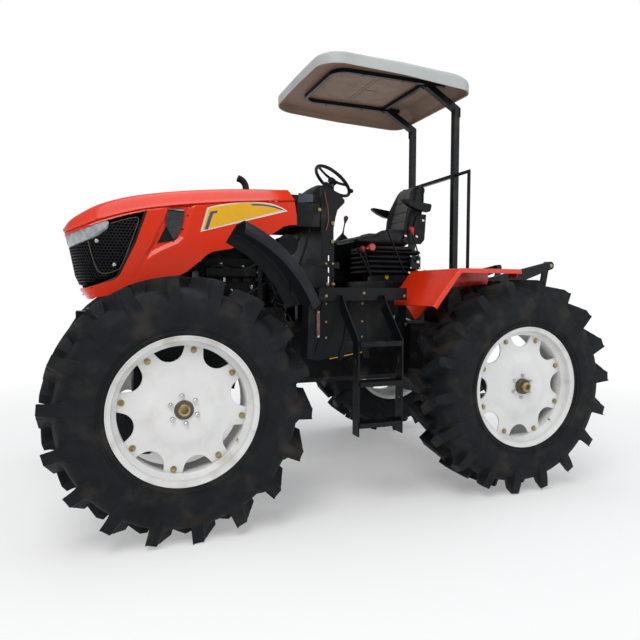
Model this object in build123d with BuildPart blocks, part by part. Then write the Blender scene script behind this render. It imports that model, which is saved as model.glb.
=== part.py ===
from build123d import *
import math
import os

os.makedirs("parts", exist_ok=True)

# Farm tractor with four equal wheels on deep-lug tyres, an open platform and a canopy.
# Frame: +X forward, +Y left, +Z up; origin on the ground under the middle of the tractor.
# Lengths are in millimetres, angles in degrees.

# ------------------------------------------------------------------ driving dimensions
wheelbase = 2550.0
front_axle_x = 1415.0
rear_axle_x = front_axle_x - wheelbase
wheel_centre_y = 1026.0
tyre_radius = 813.0
axle_z = tyre_radius
running_gap = 0.3

# Tyres
tyre_half_width = 215.0
tread_radius = 712.0
tread_half_width = 190.0
sidewall_radius = 590.0
lug_count = 18
lug_foot_radius = 640.0
lug_draft = 4.5
tyre_sides = 24

# Rims
rim_half_width = 193.0
flange_radius = 457.5
bead_radius = 431.8
flange_thickness = 8.0
well_depth = 32.0
barrel_wall = 9.0
disc_offset = 109.0
disc_thickness = 12.0
dish_radius = 216.0
dish_rise = 20.0
lobe_count = 8
scallop_radius = 88.0
scallop_centre_radius = 389.0
front_hub_reach = 153.0
rear_hub_reach = 193.0
hub_ring_radius = 56.0
hub_bore_radius = 20.0
hub_drum_radius = 125.0
hub_drum_back = 20.0

# Axles and steering
stub_radius = 60.0
kingpin_y = 800.0
kingpin_radius = 28.0
kingpin_block_radius = 54.0
kingpin_block_half = 90.0
ear_gap = 5.0
ear_thickness = 45.0
ear_half_width = 70.0
knuckle_wall_y = 860.0
knuckle_wall_thickness = 25.0
final_drive_radius = 150.0
final_drive_end = 14.0
arm_length = 210.0
arm_thickness = 25.0
arm_half_width = 26.0
stud_radius = 12.0
tie_eye_radius = 28.0
tie_rod_radius = 17.0
beam_half_height = 70.0
beam_half_width = 58.0
diff_radius = 150.0
trunnion_radius = 60.0
trunnion_half_length = 232.0
trumpet_radius = 95.0

# Front frame and engine
rail_inner_y = 180.0
rail_thickness = 35.0
rail_bottom = 1010.0
rail_top = 1180.0
rail_rear_x = 800.0
frame_front_x = 1975.0
support_thickness = 50.0
support_bottom = 735.0
engine_rear_x = 640.0
engine_front_x = 1180.0
engine_bottom = 1000.0
engine_top = 1790.0

# Transmission and rear casing
gearbox_half_width = 190.0
gearbox_bottom = 760.0
gearbox_top = 1280.0
casing_front_x = rear_axle_x + 435.0
casing_rear_x = rear_axle_x - 315.0
casing_half_width = 240.0
casing_bottom = 600.0
casing_top = 1250.0

# Hood
skin = 8.0
hood_bottom = 1440.0
hood_hinge_x = 448.0
hood_hinge_z = 2320.0
hinge_pin_radius = 6.0
hinge_lug_y = 150.0
hinge_ear_y = 172.0
hinge_plate = 10.0
pipe_x = 730.0
pipe_radius = 28.0

# Side recesses and vents of the hood
recess_depth = 14.0
vent_thickness = 5.0
grille_cell = 32.0
grille_web = 12.0

# Platform
floor_top = 1560.0
floor_rear_x = rear_axle_x + 835.0
floor_front_x = 411.0
floor_half_width = 850.0
sheet = 12.0
apron = 93.0
deck_top = 1620.0
deck_rear_x = rear_axle_x + 25.0
deck_half_width = 480.0

# Seat and console, from the middle of the seat's base and the rear edge of the floor
seat_x = floor_rear_x - 300.0
seat_z = deck_top + 305.0
fold_count = 5
fold_height = 44.0
console_rear_x = floor_rear_x - 140.0
console_front_x = floor_rear_x + 85.0
console_y = 410.0
console_top = 1995.0
lever_x = floor_rear_x - 30.0

# Steering wheel
wheel_tilt = 40.4
steering_x = -47.0
dash_top = 2427.0
steering_z = dash_top + 67.0
steering_radius = 180.0
steering_grip = 14.0
spindle_radius = 10.0
column_length = 137.0
tower_top = dash_top - 136.0

# Rear fenders
fender_top = 1705.0
fender_rear_x = rear_axle_x + 16.0
fender_knee_x = rear_axle_x + 575.0
fender_inner_y = 480.0
fender_outer_y = 1150.0

# Canopy
grab_y = 560.0
grab_top_z = 2550.0
post_x = rear_axle_x + 75.0
post_y = 355.0
post_half = 26.0
loop_z = 3314.0
knee_z = loop_z - 189.0
loop_tube = 32.0
loop_half_width = 388.0
loop_corner = 130.0
loop_front_x = 106.0
loop_rear_x = post_x + 320.0
stub_rear_x = loop_rear_x - 180.0
roof_front_x = 300.0
roof_rear_x = post_x + 5.0
roof_half_width = 668.0
roof_tilt = 3.0
roof_skirt = 85.0
roof_lip = 14.0
roof_crown_z = loop_z + 46.0
roof_rim_z = loop_z - 76.0

# Hitch
lift_pivot_x = casing_rear_x
lift_pivot_z = 1590.0
lift_tip_x = lift_pivot_x - 668.0
lift_tip_z = lift_pivot_z + 190.0
lift_arm_y = 380.0
lift_arm_thickness = 40.0
link_pivot_x = rear_axle_x - 165.0
link_pivot_z = 640.0
rod_foot_x = link_pivot_x - 650.0
rod_foot_z = link_pivot_z + 290.0
link_length = 967.0
link_thickness = 25.0
rod_thickness = 25.0
rod_y = 337.5
hitch_pin_radius = 14.0
link_pin_radius = 18.0
float_travel = 12.0
lift_shaft_radius = 40.0
top_link_x = casing_rear_x - 160.0
top_link_z = 1240.0
drawbar_top = 520.0

sides = (("left", 1), ("right", -1))


def axle_plane(x, side, offset=0.0):
    """Plane square to an axle, at an offset outward from the middle of its wheel."""
    y = side * (wheel_centre_y + offset)
    return Plane(origin=(x, y, axle_z), x_dir=(1, 0, 0), z_dir=(0, side, 0))


def side_plane(y, side=1):
    """Upright plane at a distance from the middle: local x forward, local y up."""
    return Plane(origin=(0, side * y, 0), x_dir=(1, 0, 0), z_dir=(0, -1, 0))


# ------------------------------------------------------------------ wheels
# name, axle position, side, angle of the first lug, angle of a lobe, reach of the hub past the wheel's middle
wheel_rows = (
    ("front_left", front_axle_x, 1, 0.0, 10.0, front_hub_reach),
    ("front_right", front_axle_x, -1, 10.0, 10.0, front_hub_reach),
    ("rear_left", rear_axle_x, 1, 12.0, 22.5, rear_hub_reach),
    ("rear_right", rear_axle_x, -1, 2.0, 22.5, rear_hub_reach),
)

lug_pitch = 360.0 / lug_count
lug_height = math.sqrt(tyre_radius**2 - 100.0**2) - lug_foot_radius
# Foot of one lug: distance outward from the middle of the tread, distance along the tread.
lug_outline = (
    (-35, -27),
    (15, -100),
    (117, -30),
    (214, 16),
    (214, 104),
    (73, 48),
)

# One tyre about the Y axis; the mirrored row of lugs stands half a pitch on.
with BuildPart() as tyre_form:
    for across, radius in (
        (-tyre_half_width, sidewall_radius),
        (-tread_half_width, tread_radius),
        (tread_half_width, tread_radius),
        (tyre_half_width, sidewall_radius),
    ):
        with BuildSketch(Plane(origin=(0, across, 0), x_dir=(1, 0, 0), z_dir=(0, 1, 0))):
            RegularPolygon(radius=radius, side_count=tyre_sides)
    loft(ruled=True)
    for row, step in ((1, 0.0), (-1, 0.5)):
        for index in range(lug_count):
            angle = math.radians(lug_pitch * (index + step))
            out = Vector(math.cos(angle), 0, math.sin(angle))
            along = Vector(-out.Z, 0, out.X)
            with BuildSketch(Plane(origin=out * lug_foot_radius, x_dir=along, z_dir=out)):
                Polygon(*[(t, -u * row) for u, t in lug_outline], align=None)
    extrude(amount=lug_height, taper=lug_draft)
    for end in (1, -1):
        for across, radius in (
            (rim_half_width - flange_thickness - 4, flange_radius + 0.5),
            (tyre_half_width, sidewall_radius - 22),
        ):
            with BuildSketch(Plane(origin=(0, end * across, 0), x_dir=(1, 0, 0), z_dir=(0, 1, 0))):
                RegularPolygon(radius=radius, side_count=tyre_sides, major_radius=False)
        loft(ruled=True, mode=Mode.SUBTRACT)
    with BuildSketch(Plane(origin=(0, 0, 0), x_dir=(1, 0, 0), z_dir=(0, 1, 0))):
        RegularPolygon(radius=bead_radius, side_count=tyre_sides, major_radius=False)
    extrude(amount=tyre_half_width, both=True, mode=Mode.SUBTRACT)

# One rim about the Y axis with its outer side towards +Y, for each reach of the hub
rim_forms = {}
rim_section = Plane(origin=(0, 0, 0), x_dir=(1, 0, 0), z_dir=(0, 0, 1))
w = rim_half_width
f = rim_half_width - flange_thickness
well = bead_radius - well_depth
disc_back = disc_offset - disc_thickness
hub_face = disc_offset + dish_rise
hub_back = hub_face - disc_thickness
for hub_reach in (front_hub_reach, rear_hub_reach):
    with BuildPart() as rim_form:
        with BuildSketch(rim_section):
            with BuildLine():
                Polyline(
                    (flange_radius, -w),
                    (flange_radius, -f),
                    (bead_radius, -f),
                    (bead_radius, disc_offset - 90),
                    (well, disc_offset - 66),
                    (well, disc_offset + 10),
                    (bead_radius, disc_offset + 34),
                    (bead_radius, f),
                    (flange_radius, f),
                    (flange_radius, w),
                    (bead_radius - barrel_wall, w - 6),
                    (bead_radius - barrel_wall, disc_offset + 38),
                    (well - barrel_wall, disc_offset + 14),
                    (well - barrel_wall, disc_offset - 70),
                    (bead_radius - barrel_wall, disc_offset - 94),
                    (bead_radius - barrel_wall, 6 - w),
                    close=True,
                )
            make_face()
        revolve(axis=Axis.Y)
        with BuildSketch(rim_section):
            with BuildLine():
                Polyline(
                    (hub_bore_radius, hub_back),
                    (dish_radius, hub_back),
                    (dish_radius + 40, disc_back),
                    (well - barrel_wall + 2, disc_back),
                    (well - barrel_wall + 2, disc_offset),
                    (dish_radius + 36, disc_offset),
                    (dish_radius - 4, hub_face),
                    (hub_bore_radius, hub_face),
                    close=True,
                )
            make_face()
        revolve(axis=Axis.Y)
        with BuildSketch(Plane(origin=(0, disc_back - 1, 0), x_dir=(1, 0, 0), z_dir=(0, 1, 0))):
            with PolarLocations(scallop_centre_radius, lobe_count, start_angle=180.0 / lobe_count):
                Circle(scallop_radius)
            Circle(well - barrel_wall - 0.5, mode=Mode.INTERSECT)
        extrude(amount=disc_thickness + 2, mode=Mode.SUBTRACT)
        with BuildSketch(rim_section):
            with BuildLine():
                Polyline(
                    (hub_bore_radius, hub_face),
                    (hub_ring_radius, hub_face),
                    (hub_ring_radius, hub_reach - 6),
                    (hub_ring_radius - 6, hub_reach),
                    (hub_bore_radius, hub_reach),
                    close=True,
                )
            make_face()
            with BuildLine():
                Polyline(
                    (stub_radius + running_gap, hub_drum_back),
                    (hub_drum_radius, hub_drum_back),
                    (hub_drum_radius, hub_back),
                    (stub_radius + running_gap, hub_back),
                    close=True,
                )
            make_face()
        revolve(axis=Axis.Y)
    rim_forms[hub_reach] = rim_form.part

for name, wheel_x, side, first_lug, lobe_angle, hub_reach in wheel_rows:
    with BuildPart() as tyre:
        with Locations((wheel_x, side * wheel_centre_y, axle_z)):
            add(tyre_form.part, rotation=(0, -first_lug, 0))
    tyre.part.label = "tyre_" + name
    export_step(tyre.part, "parts/tyre_" + name + ".step")

    with BuildPart() as rim:
        with Locations((wheel_x, side * wheel_centre_y, axle_z)):
            add(rim_forms[hub_reach], rotation=(0, -lobe_angle, 90 - 90 * side))
    rim.part.label = "rim_" + name
    export_step(rim.part, "parts/rim_" + name + ".step")

# ------------------------------------------------------------------ front axle
stub_tip = hub_back - 3
arm_top = axle_z - kingpin_block_half - ear_gap - ear_thickness + arm_thickness
arm_bottom = arm_top - arm_thickness
stud_x = front_axle_x - arm_length

with BuildPart() as front_axle:
    with BuildSketch(Plane(origin=(front_axle_x, 0, axle_z), x_dir=(1, 0, 0), z_dir=(0, 1, 0))):
        RectangleRounded(2 * beam_half_width, 2 * beam_half_height, 20)
    extrude(amount=kingpin_y, both=True)
    for side in (1, -1):
        for y, grow in ((trunnion_half_length - 60, 34), (kingpin_y - 190, 0)):
            with BuildSketch(axle_plane(front_axle_x, side, y - wheel_centre_y)):
                RectangleRounded(2 * (beam_half_width + grow), 2 * (beam_half_height + grow), 20)
        loft()
    with BuildSketch(Plane(origin=(front_axle_x, 0, axle_z))):
        with Locations((0, kingpin_y), (0, -kingpin_y)):
            Circle(kingpin_block_radius)
    extrude(amount=kingpin_block_half, both=True)
    with BuildSketch(Plane(origin=(front_axle_x, 0, axle_z))):
        with Locations((0, kingpin_y), (0, -kingpin_y)):
            Circle(kingpin_radius + running_gap)
    extrude(amount=kingpin_block_half, both=True, mode=Mode.SUBTRACT)
    with BuildSketch(Plane(origin=(front_axle_x, 0, axle_z), x_dir=(1, 0, 0), z_dir=(0, 0, 1))):
        with BuildLine():
            Polyline(
                (-diff_radius, 0),
                (-diff_radius, 60),
                (-90, 190),
                (90, 190),
                (diff_radius, 60),
                (diff_radius, 0),
                close=True,
            )
        make_face()
    revolve(axis=Axis((front_axle_x, 0, axle_z), (1, 0, 0)))
    with BuildSketch(Plane(origin=(front_axle_x, 0, axle_z), x_dir=(0, 1, 0), z_dir=(1, 0, 0))):
        Circle(trunnion_radius)
    extrude(amount=trunnion_half_length, both=True)
front_axle.part.label = "front_axle"
export_step(front_axle.part, "parts/front_axle.step")

for name, side in sides:
    kingpin = Plane(origin=(front_axle_x, side * kingpin_y, axle_z))
    with BuildPart() as knuckle:
        for end in (1, -1):
            inner = kingpin_block_half + ear_gap
            with BuildSketch(kingpin.offset(end * (inner + ear_thickness / 2))):
                Rectangle(2 * ear_half_width, 2 * ear_half_width)
            extrude(amount=ear_thickness / 2, both=True)
            with BuildSketch(kingpin.offset(end * (inner + ear_thickness))):
                Circle(kingpin_radius)
            extrude(amount=-end * (inner + ear_thickness - 20))
        wall_middle = knuckle_wall_y + knuckle_wall_thickness / 2 - kingpin_y
        with BuildSketch(kingpin):
            with Locations((0, side * wall_middle)):
                Rectangle(2 * ear_half_width + 40, knuckle_wall_thickness)
        extrude(amount=kingpin_block_half + ear_gap + ear_thickness, both=True)
        back = knuckle_wall_y + knuckle_wall_thickness - wheel_centre_y
        with BuildSketch(axle_plane(front_axle_x, side, back)):
            Circle(final_drive_radius)
        extrude(amount=final_drive_end - back)
        with BuildSketch(axle_plane(front_axle_x, side, final_drive_end)):
            Circle(stub_radius)
        extrude(amount=stub_tip - final_drive_end)
        with BuildSketch(Plane(origin=(front_axle_x, side * kingpin_y, arm_bottom))):
            with BuildLine():
                Polyline(
                    (0, -ear_half_width),
                    (-arm_length, -arm_half_width),
                    (-arm_length - arm_half_width, 0),
                    (-arm_length, arm_half_width),
                    (0, ear_half_width),
                    close=True,
                )
            make_face()
        extrude(amount=arm_thickness)
        with BuildSketch(Plane(origin=(stud_x, side * kingpin_y, arm_bottom))):
            Circle(stud_radius)
        extrude(amount=-(arm_thickness + 20))
    knuckle.part.label = "knuckle_" + name
    export_step(knuckle.part, "parts/knuckle_" + name + ".step")

tie_z = arm_bottom - 5
with BuildPart() as tie_rod:
    with BuildSketch(Plane(origin=(stud_x, 0, tie_z - 12.5), x_dir=(1, 0, 0), z_dir=(0, 1, 0))):
        Circle(tie_rod_radius)
    extrude(amount=kingpin_y - tie_eye_radius + 6, both=True)
    with BuildSketch(Plane(origin=(stud_x, 0, tie_z))):
        with Locations((0, kingpin_y), (0, -kingpin_y)):
            Circle(tie_eye_radius)
    extrude(amount=-arm_thickness)
    with BuildSketch(Plane(origin=(stud_x, 0, tie_z))):
        with Locations((0, kingpin_y), (0, -kingpin_y)):
            Circle(stud_radius + running_gap)
    extrude(amount=-arm_thickness, mode=Mode.SUBTRACT)
tie_rod.part.label = "tie_rod"
export_step(tie_rod.part, "parts/tie_rod.step")

# ------------------------------------------------------------------ front frame and engine
support_y = rail_inner_y
with BuildPart() as front_frame:
    with BuildSketch(Plane.XY.offset(rail_bottom)):
        for side in (1, -1):
            with Locations(((rail_rear_x + frame_front_x) / 2, side * (rail_inner_y + rail_thickness / 2))):
                Rectangle(frame_front_x - rail_rear_x, rail_thickness)
    extrude(amount=rail_top - rail_bottom)
    for x in (front_axle_x - trunnion_half_length + 25, front_axle_x + trunnion_half_length - 25):
        with BuildSketch(Plane(origin=(x, 0, 0), x_dir=(0, 1, 0), z_dir=(1, 0, 0))):
            with BuildLine():
                Polyline(
                    (-support_y, rail_bottom),
                    (-support_y, rail_bottom + 60),
                    (support_y, rail_bottom + 60),
                    (support_y, rail_bottom),
                    (100, support_bottom),
                    (-100, support_bottom),
                    close=True,
                )
            make_face()
            with Locations((0, axle_z)):
                Circle(trunnion_radius + running_gap, mode=Mode.SUBTRACT)
        extrude(amount=support_thickness / 2, both=True)
    with BuildSketch(Plane.XY.offset(rail_bottom)):
        with Locations((frame_front_x - 20, 0)):
            Rectangle(40, 2 * rail_inner_y)
    extrude(amount=390)
    with BuildSketch(Plane.XY.offset(1230)):
        with Locations((frame_front_x + 35, 0)):
            Rectangle(70, 240)
    extrude(amount=150)
front_frame.part.label = "front_frame"
export_step(front_frame.part, "parts/front_frame.step")

cover_half = 110.0
cover_top = engine_top + 60.0
# Forms on the engine's left side, along X: start, end, distance out, height and radius
left_barrels = (
    (760, 980, 215, 1420, 48),
    (700, 760, 205, 1420, 62),
    (980, 1060, 200, 1330, 34),
)
# Filters on the left side, upright: position along X, distance out, bottom, top and radius
filters = ((1085, 218, 1400, 1560, 44), (820, 222, 1190, 1330, 48))
# Starter on the right side and alternator at the front right, as the barrels
right_barrels = ((680, 900, 215, 1240, 46), (1060, 1170, 225, 1560, 58))
with BuildPart() as engine_block:
    with BuildSketch(side_plane(0)):
        with BuildLine():
            Polyline(
                (engine_rear_x, engine_bottom + 60),
                (engine_rear_x + 80, engine_bottom),
                (engine_front_x - 60, engine_bottom),
                (engine_front_x, engine_bottom + 60),
                (engine_front_x, engine_top - 230),
                (engine_front_x - 30, engine_top - 190),
                (engine_front_x - 30, engine_top),
                (engine_rear_x + 30, engine_top),
                (engine_rear_x + 30, engine_top - 190),
                (engine_rear_x, engine_top - 230),
                close=True,
            )
        make_face()
    extrude(amount=rail_inner_y, both=True)
    with BuildSketch(Plane.XY.offset(engine_top)):
        with Locations(((engine_rear_x + engine_front_x) / 2, 0)):
            RectangleRounded(engine_front_x - engine_rear_x - 120, 2 * cover_half, 30)
    extrude(amount=cover_top - engine_top, taper=8)
    for runner in range(4):
        x = engine_rear_x + 125 + 98 * runner
        with BuildSketch(side_plane(rail_inner_y - 5)):
            with Locations((x, engine_top - 110)):
                Circle(26)
        extrude(amount=-50)
        with BuildSketch(side_plane(5 - rail_inner_y)):
            with Locations((x, engine_top - 120)):
                RectangleRounded(56, 60, 12)
        extrude(amount=50)
    with BuildSketch(Plane.YZ.offset(engine_rear_x + 80)):
        with Locations((rail_inner_y + 50, engine_top - 110)):
            RectangleRounded(60, 84, 24)
        with Locations((-rail_inner_y - 45, engine_top - 120)):
            RectangleRounded(64, 70, 20)
    extrude(amount=390)
    for side, barrels in ((1, left_barrels), (-1, right_barrels)):
        for x_start, x_end, y, z, radius in barrels:
            with BuildSketch(Plane.YZ.offset(x_start)):
                with Locations((side * y, z)):
                    Circle(radius)
            extrude(amount=x_end - x_start)
    for x, y, z_low, z_high, radius in filters:
        with BuildSketch(Plane.XY.offset(z_low)):
            with Locations((x, y)):
                Circle(radius)
        extrude(amount=z_high - z_low)
    with BuildSketch(Plane.YZ.offset(engine_front_x)):
        with Locations((0, engine_bottom + 165)):
            Circle(80)
        with Locations((0, engine_bottom + 480)):
            Circle(60)
    extrude(amount=70)
    with BuildSketch(Plane.YZ.offset(engine_front_x + 70)):
        for blade in range(7):
            with Locations(Location((0, engine_bottom + 480, 0), (0, 0, 360 / 7 * blade))):
                with Locations((110, 0)):
                    Rectangle(210, 64)
        with Locations((0, engine_bottom + 480)):
            Circle(60)
    extrude(amount=24)
engine_block.part.label = "engine_block"
export_step(engine_block.part, "parts/engine_block.step")

with BuildPart() as radiator:
    with BuildSketch(Plane.XY.offset(rail_top)):
        with Locations((1530, 0)):
            Rectangle(100, 600)
    extrude(amount=720)
radiator.part.label = "radiator"
export_step(radiator.part, "parts/radiator.step")

cleaner_x = 470.0
cleaner_z = 1900.0
cleaner_radius = 75.0
with BuildPart() as air_cleaner:
    with BuildSketch(side_plane(120)):
        with Locations((cleaner_x, cleaner_z)):
            Circle(cleaner_radius)
    extrude(amount=-200)
    with BuildSketch(side_plane(300)):
        with Locations((cleaner_x, cleaner_z)):
            Circle(cleaner_radius + 10)
            Circle(cleaner_radius - 5, mode=Mode.SUBTRACT)
    extrude(amount=-14)
    with BuildLine(side_plane(185)):
        Polyline(
            (cleaner_x + cleaner_radius - 25, cleaner_z),
            (cleaner_x + 160, cleaner_z),
            (cleaner_x + 250, cleaner_z - 60),
            (cleaner_x + 250, engine_top - 70),
        )
    with BuildSketch(Plane(origin=(cleaner_x + cleaner_radius - 25, 185, cleaner_z), z_dir=(1, 0, 0))):
        Circle(38)
    sweep(transition=Transition.ROUND)
    with BuildSketch(Plane.XY.offset(engine_top)):
        with Locations((cleaner_x + 250, 185)):
            Rectangle(200, 200)
    extrude(amount=-200, mode=Mode.SUBTRACT)
air_cleaner.part.label = "air_cleaner"
export_step(air_cleaner.part, "parts/air_cleaner.step")

with BuildPart() as transmission:
    with BuildSketch(side_plane(0)):
        with BuildLine():
            Polyline(
                (engine_rear_x, 1060),
                (engine_rear_x, 1400),
                (480, 1400),
                (430, gearbox_top),
                (casing_front_x, gearbox_top),
                (casing_front_x, gearbox_bottom),
                (400, gearbox_bottom),
                close=True,
            )
        make_face()
    extrude(amount=gearbox_half_width, both=True)
    chamfer(transmission.faces().sort_by(Axis.Z)[0].edges().filter_by(Axis.X), 45)
    for x in (casing_front_x, 400):
        with BuildSketch(Plane.YZ.offset(x)):
            with Locations((0, (gearbox_bottom + gearbox_top) / 2)):
                RectangleRounded(2 * gearbox_half_width + 36, gearbox_top - gearbox_bottom - 120, 20)
        extrude(amount=22)
transmission.part.label = "transmission"
export_step(transmission.part, "parts/transmission.step")

with BuildPart() as rear_casing:
    with BuildSketch(side_plane(0)):
        with BuildLine():
            Polyline(
                (casing_front_x, gearbox_bottom),
                (casing_front_x, casing_top),
                (casing_rear_x, casing_top),
                (casing_rear_x, casing_bottom),
                (casing_front_x - 160, casing_bottom),
                close=True,
            )
        make_face()
    extrude(amount=casing_half_width, both=True)
    for name, side in sides:
        with BuildSketch(side_plane(casing_half_width, side)):
            with Locations((link_pivot_x, link_pivot_z + 20)):
                Rectangle(150, 120)
        extrude(amount=-side * 30)
        with BuildSketch(side_plane(casing_half_width, side)):
            with Locations((link_pivot_x, link_pivot_z)):
                Circle(link_pin_radius)
        extrude(amount=-side * (lift_arm_y + link_thickness / 2 + 12 - casing_half_width))
rear_casing.part.label = "rear_casing"
export_step(rear_casing.part, "parts/rear_casing.step")

final_drive_back = final_drive_end - 160
with BuildPart() as axle_trumpets:
    for name, side in sides:
        casing_side = Plane(origin=(rear_axle_x, side * casing_half_width, axle_z), z_dir=(0, side, 0))
        with BuildSketch(casing_side):
            Circle(trumpet_radius + 30)
        extrude(amount=40)
        with BuildSketch(casing_side):
            Circle(trumpet_radius)
        extrude(amount=wheel_centre_y + final_drive_back - casing_half_width)
        with BuildSketch(axle_plane(rear_axle_x, side, final_drive_back)):
            Circle(final_drive_radius)
        extrude(amount=final_drive_end - final_drive_back)
        with BuildSketch(axle_plane(rear_axle_x, side, final_drive_end)):
            Circle(stub_radius)
        extrude(amount=stub_tip - final_drive_end)
axle_trumpets.part.label = "axle_trumpets"
export_step(axle_trumpets.part, "parts/axle_trumpets.step")

# ------------------------------------------------------------------ hood
# One row per section: distance forward, half width, crease height, shoulder half width,
# shoulder height and crown height.
hood_rows = (
    (430, 380, 2243, 250, 2336, 2350),
    (1000, 380, 2195, 250, 2302, 2318),
    (1550, 380, 2120, 250, 2230, 2248),
    (1850, 379, 2035, 248, 2147, 2165),
    (2030, 372, 1965, 240, 2046, 2062),
    (2120, 350, 1912, 225, 1962, 1976),
)
# Rake of the nose, from its foot to the front edge of the top
nose_rows = ((1958, 1465), (2012, 1532), (2060, 1640), (2118, 1950))


def hood_form(inset):
    """Closed form of the hood, drawn in by an inset from its outer skin."""
    with BuildPart() as form:
        for x, half, crease, shoulder_half, shoulder, crown in hood_rows:
            with BuildSketch(Plane(origin=(x, 0, 0), x_dir=(0, 1, 0), z_dir=(1, 0, 0))):
                with BuildLine():
                    Polyline(
                        (-half + inset, hood_bottom),
                        (-half + inset, crease - inset),
                        (-shoulder_half + inset / 2, shoulder - inset),
                        (0, crown - inset),
                        (shoulder_half - inset / 2, shoulder - inset),
                        (half - inset, crease - inset),
                        (half - inset, hood_bottom),
                        close=True,
                    )
                make_face()
        loft(ruled=True)
        with BuildSketch(Plane.XY.offset(hood_bottom)):
            with BuildLine():
                Polyline((400, 380 - inset), (1900, 380 - inset))
                ThreePointArc((1900, 380 - inset), (2062 - inset, 230), (2118 - inset, 0))
                ThreePointArc((2118 - inset, 0), (2062 - inset, -230), (1900, inset - 380))
                Polyline((1900, inset - 380), (400, inset - 380), (400, 380 - inset))
            make_face()
        extrude(amount=1000, mode=Mode.INTERSECT)
        with BuildSketch(side_plane(0)):
            with BuildLine():
                Polyline(
                    *[(x - inset, z) for x, z in nose_rows],
                    (2400, 1950),
                    (2400, 1400),
                    (1900 - inset, 1400),
                    close=True,
                )
            make_face()
        extrude(amount=500, both=True, mode=Mode.SUBTRACT)
    return form.part


# Side views: band between the two folds behind the grille, vent in it, and opening of the grille and lamps
recess_outline = (
    (1411, 2140),
    (1488, 1967),
    (1579, 1786),
    (1663, 1627),
    (1619, 1640),
    (1548, 1754),
    (1424, 1837),
    (1331, 1880),
    (1291, 1921),
    (1208, 2166),
)
vent_outline = ((1405, 2124), (1429, 1996), (1482, 1890), (1364, 1910), (1317, 1974), (1283, 2130))
grille_outline = ((1565, 2100), (1740, 1615), (1960, 1545), (2300, 1545), (2300, 1940), (2080, 1940), (1960, 2000))
grille_opening = ((1575, 2085), (1752, 1626), (1960, 1560), (2300, 1560), (2300, 1925), (2080, 1925), (1960, 1985))

hood_outer = hood_form(0.0)
hood_inner = hood_form(skin)
vent_inner = hood_form(skin + recess_depth + vent_thickness)
grille_outer = hood_form(skin + 6)
grille_inner = hood_form(skin + 12)
# Half width of the hood inside its skin, at the recess
recess_y = hood_rows[0][1] - recess_depth

with BuildPart() as recess_cut:
    for side in (1, -1):
        with BuildSketch(side_plane(recess_y, side)):
            with BuildLine():
                Polyline(*recess_outline, close=True)
            make_face()
        extrude(amount=-side * 60)

with BuildPart() as recess_wall:
    for side in (1, -1):
        with BuildSketch(side_plane(recess_y - skin, side)):
            with BuildLine():
                Polyline(*recess_outline, close=True)
            make_face()
            offset(amount=skin, kind=Kind.INTERSECTION)
        extrude(amount=-side * 60)

with BuildPart() as hood_cavity:
    add(hood_inner)
    add(recess_wall.part, mode=Mode.SUBTRACT)

with BuildPart() as hood_shell:
    add(hood_outer)
    add(recess_cut.part, mode=Mode.SUBTRACT)
    add(hood_cavity.part, mode=Mode.SUBTRACT)
    for outline in (grille_opening, vent_outline):
        with BuildSketch(side_plane(0)):
            with BuildLine():
                Polyline(*outline, close=True)
            make_face()
        extrude(amount=500, both=True, mode=Mode.SUBTRACT)
    with BuildSketch(side_plane(0)):
        with BuildLine():
            Polyline(
                (300, 2035),
                (540, 2035),
                (575, 2008),
                (631, 1967),
                (790, 1905),
                (958, 1850),
                (1123, 1806),
                (1192, 1746),
                (1275, 1674),
                (1420, 1600),
                (1960, 1475),
                (1960, 1400),
                (300, 1400),
                close=True,
            )
        make_face()
    extrude(amount=500, both=True, mode=Mode.SUBTRACT)
    with BuildSketch(Plane.XY.offset(2250)):
        with Locations((pipe_x, 0)):
            Circle(pipe_radius + running_gap)
    extrude(amount=200, mode=Mode.SUBTRACT)
    for name, side in sides:
        with BuildSketch(side_plane(hinge_ear_y, side)):
            with BuildLine():
                Polyline(
                    (hood_hinge_x - 14, hood_hinge_z + 14),
                    (hood_hinge_x - 11, hood_hinge_z - 10),
                    (hood_hinge_x + 11, hood_hinge_z - 10),
                    (hood_hinge_x + 30, hood_hinge_z + 13),
                    close=True,
                )
            make_face()
            with Locations((hood_hinge_x, hood_hinge_z)):
                Circle(hinge_pin_radius + running_gap, mode=Mode.SUBTRACT)
        extrude(amount=-side * hinge_plate)
hood_shell.part.label = "hood_shell"
export_step(hood_shell.part, "parts/hood_shell.step")

# The grille is a curved panel pierced by six-sided cells; the vents are panels behind the skin.
cell_pitch = 2 * grille_cell + grille_web
cell_rise = cell_pitch * math.sqrt(3) / 2
# Rows of cells in side view: place of the first cell and number of cells, from the lowest row up
side_cells = ((1816, 3), (1778, 3), (1740, 4), (1702, 4), (1740, 2), (1702, 1))
side_cells_z = 1650.0
front_cells = (5, 4, 5, 4)
front_cells_z = 1606.0
with BuildPart() as hood_grille:
    add(grille_outer)
    add(grille_inner, mode=Mode.SUBTRACT)
    with BuildSketch(side_plane(0)):
        with BuildLine():
            Polyline(*grille_outline, close=True)
        make_face()
    extrude(amount=500, both=True, mode=Mode.INTERSECT)
    with BuildSketch(side_plane(0)):
        for row, (x, count) in enumerate(side_cells):
            with Locations(*[(x + cell_pitch * k, side_cells_z + cell_rise * row) for k in range(count)]):
                RegularPolygon(grille_cell, 6, major_radius=False, rotation=30)
    extrude(amount=500, both=True, mode=Mode.SUBTRACT)
    with BuildSketch(Plane.YZ.offset(1985)):
        for row, count in enumerate(front_cells):
            with Locations(*[(cell_pitch * (k - (count - 1) / 2), front_cells_z + cell_rise * row) for k in range(count)]):
                RegularPolygon(grille_cell, 6, major_radius=False, rotation=30)
    extrude(amount=200, mode=Mode.SUBTRACT)
    for side in (1, -1):
        with BuildSketch(side_plane(recess_y - skin, side)):
            with BuildLine():
                Polyline(*vent_outline, close=True)
            make_face()
            offset(amount=8, kind=Kind.INTERSECTION)
        extrude(amount=side * vent_thickness)
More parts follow.
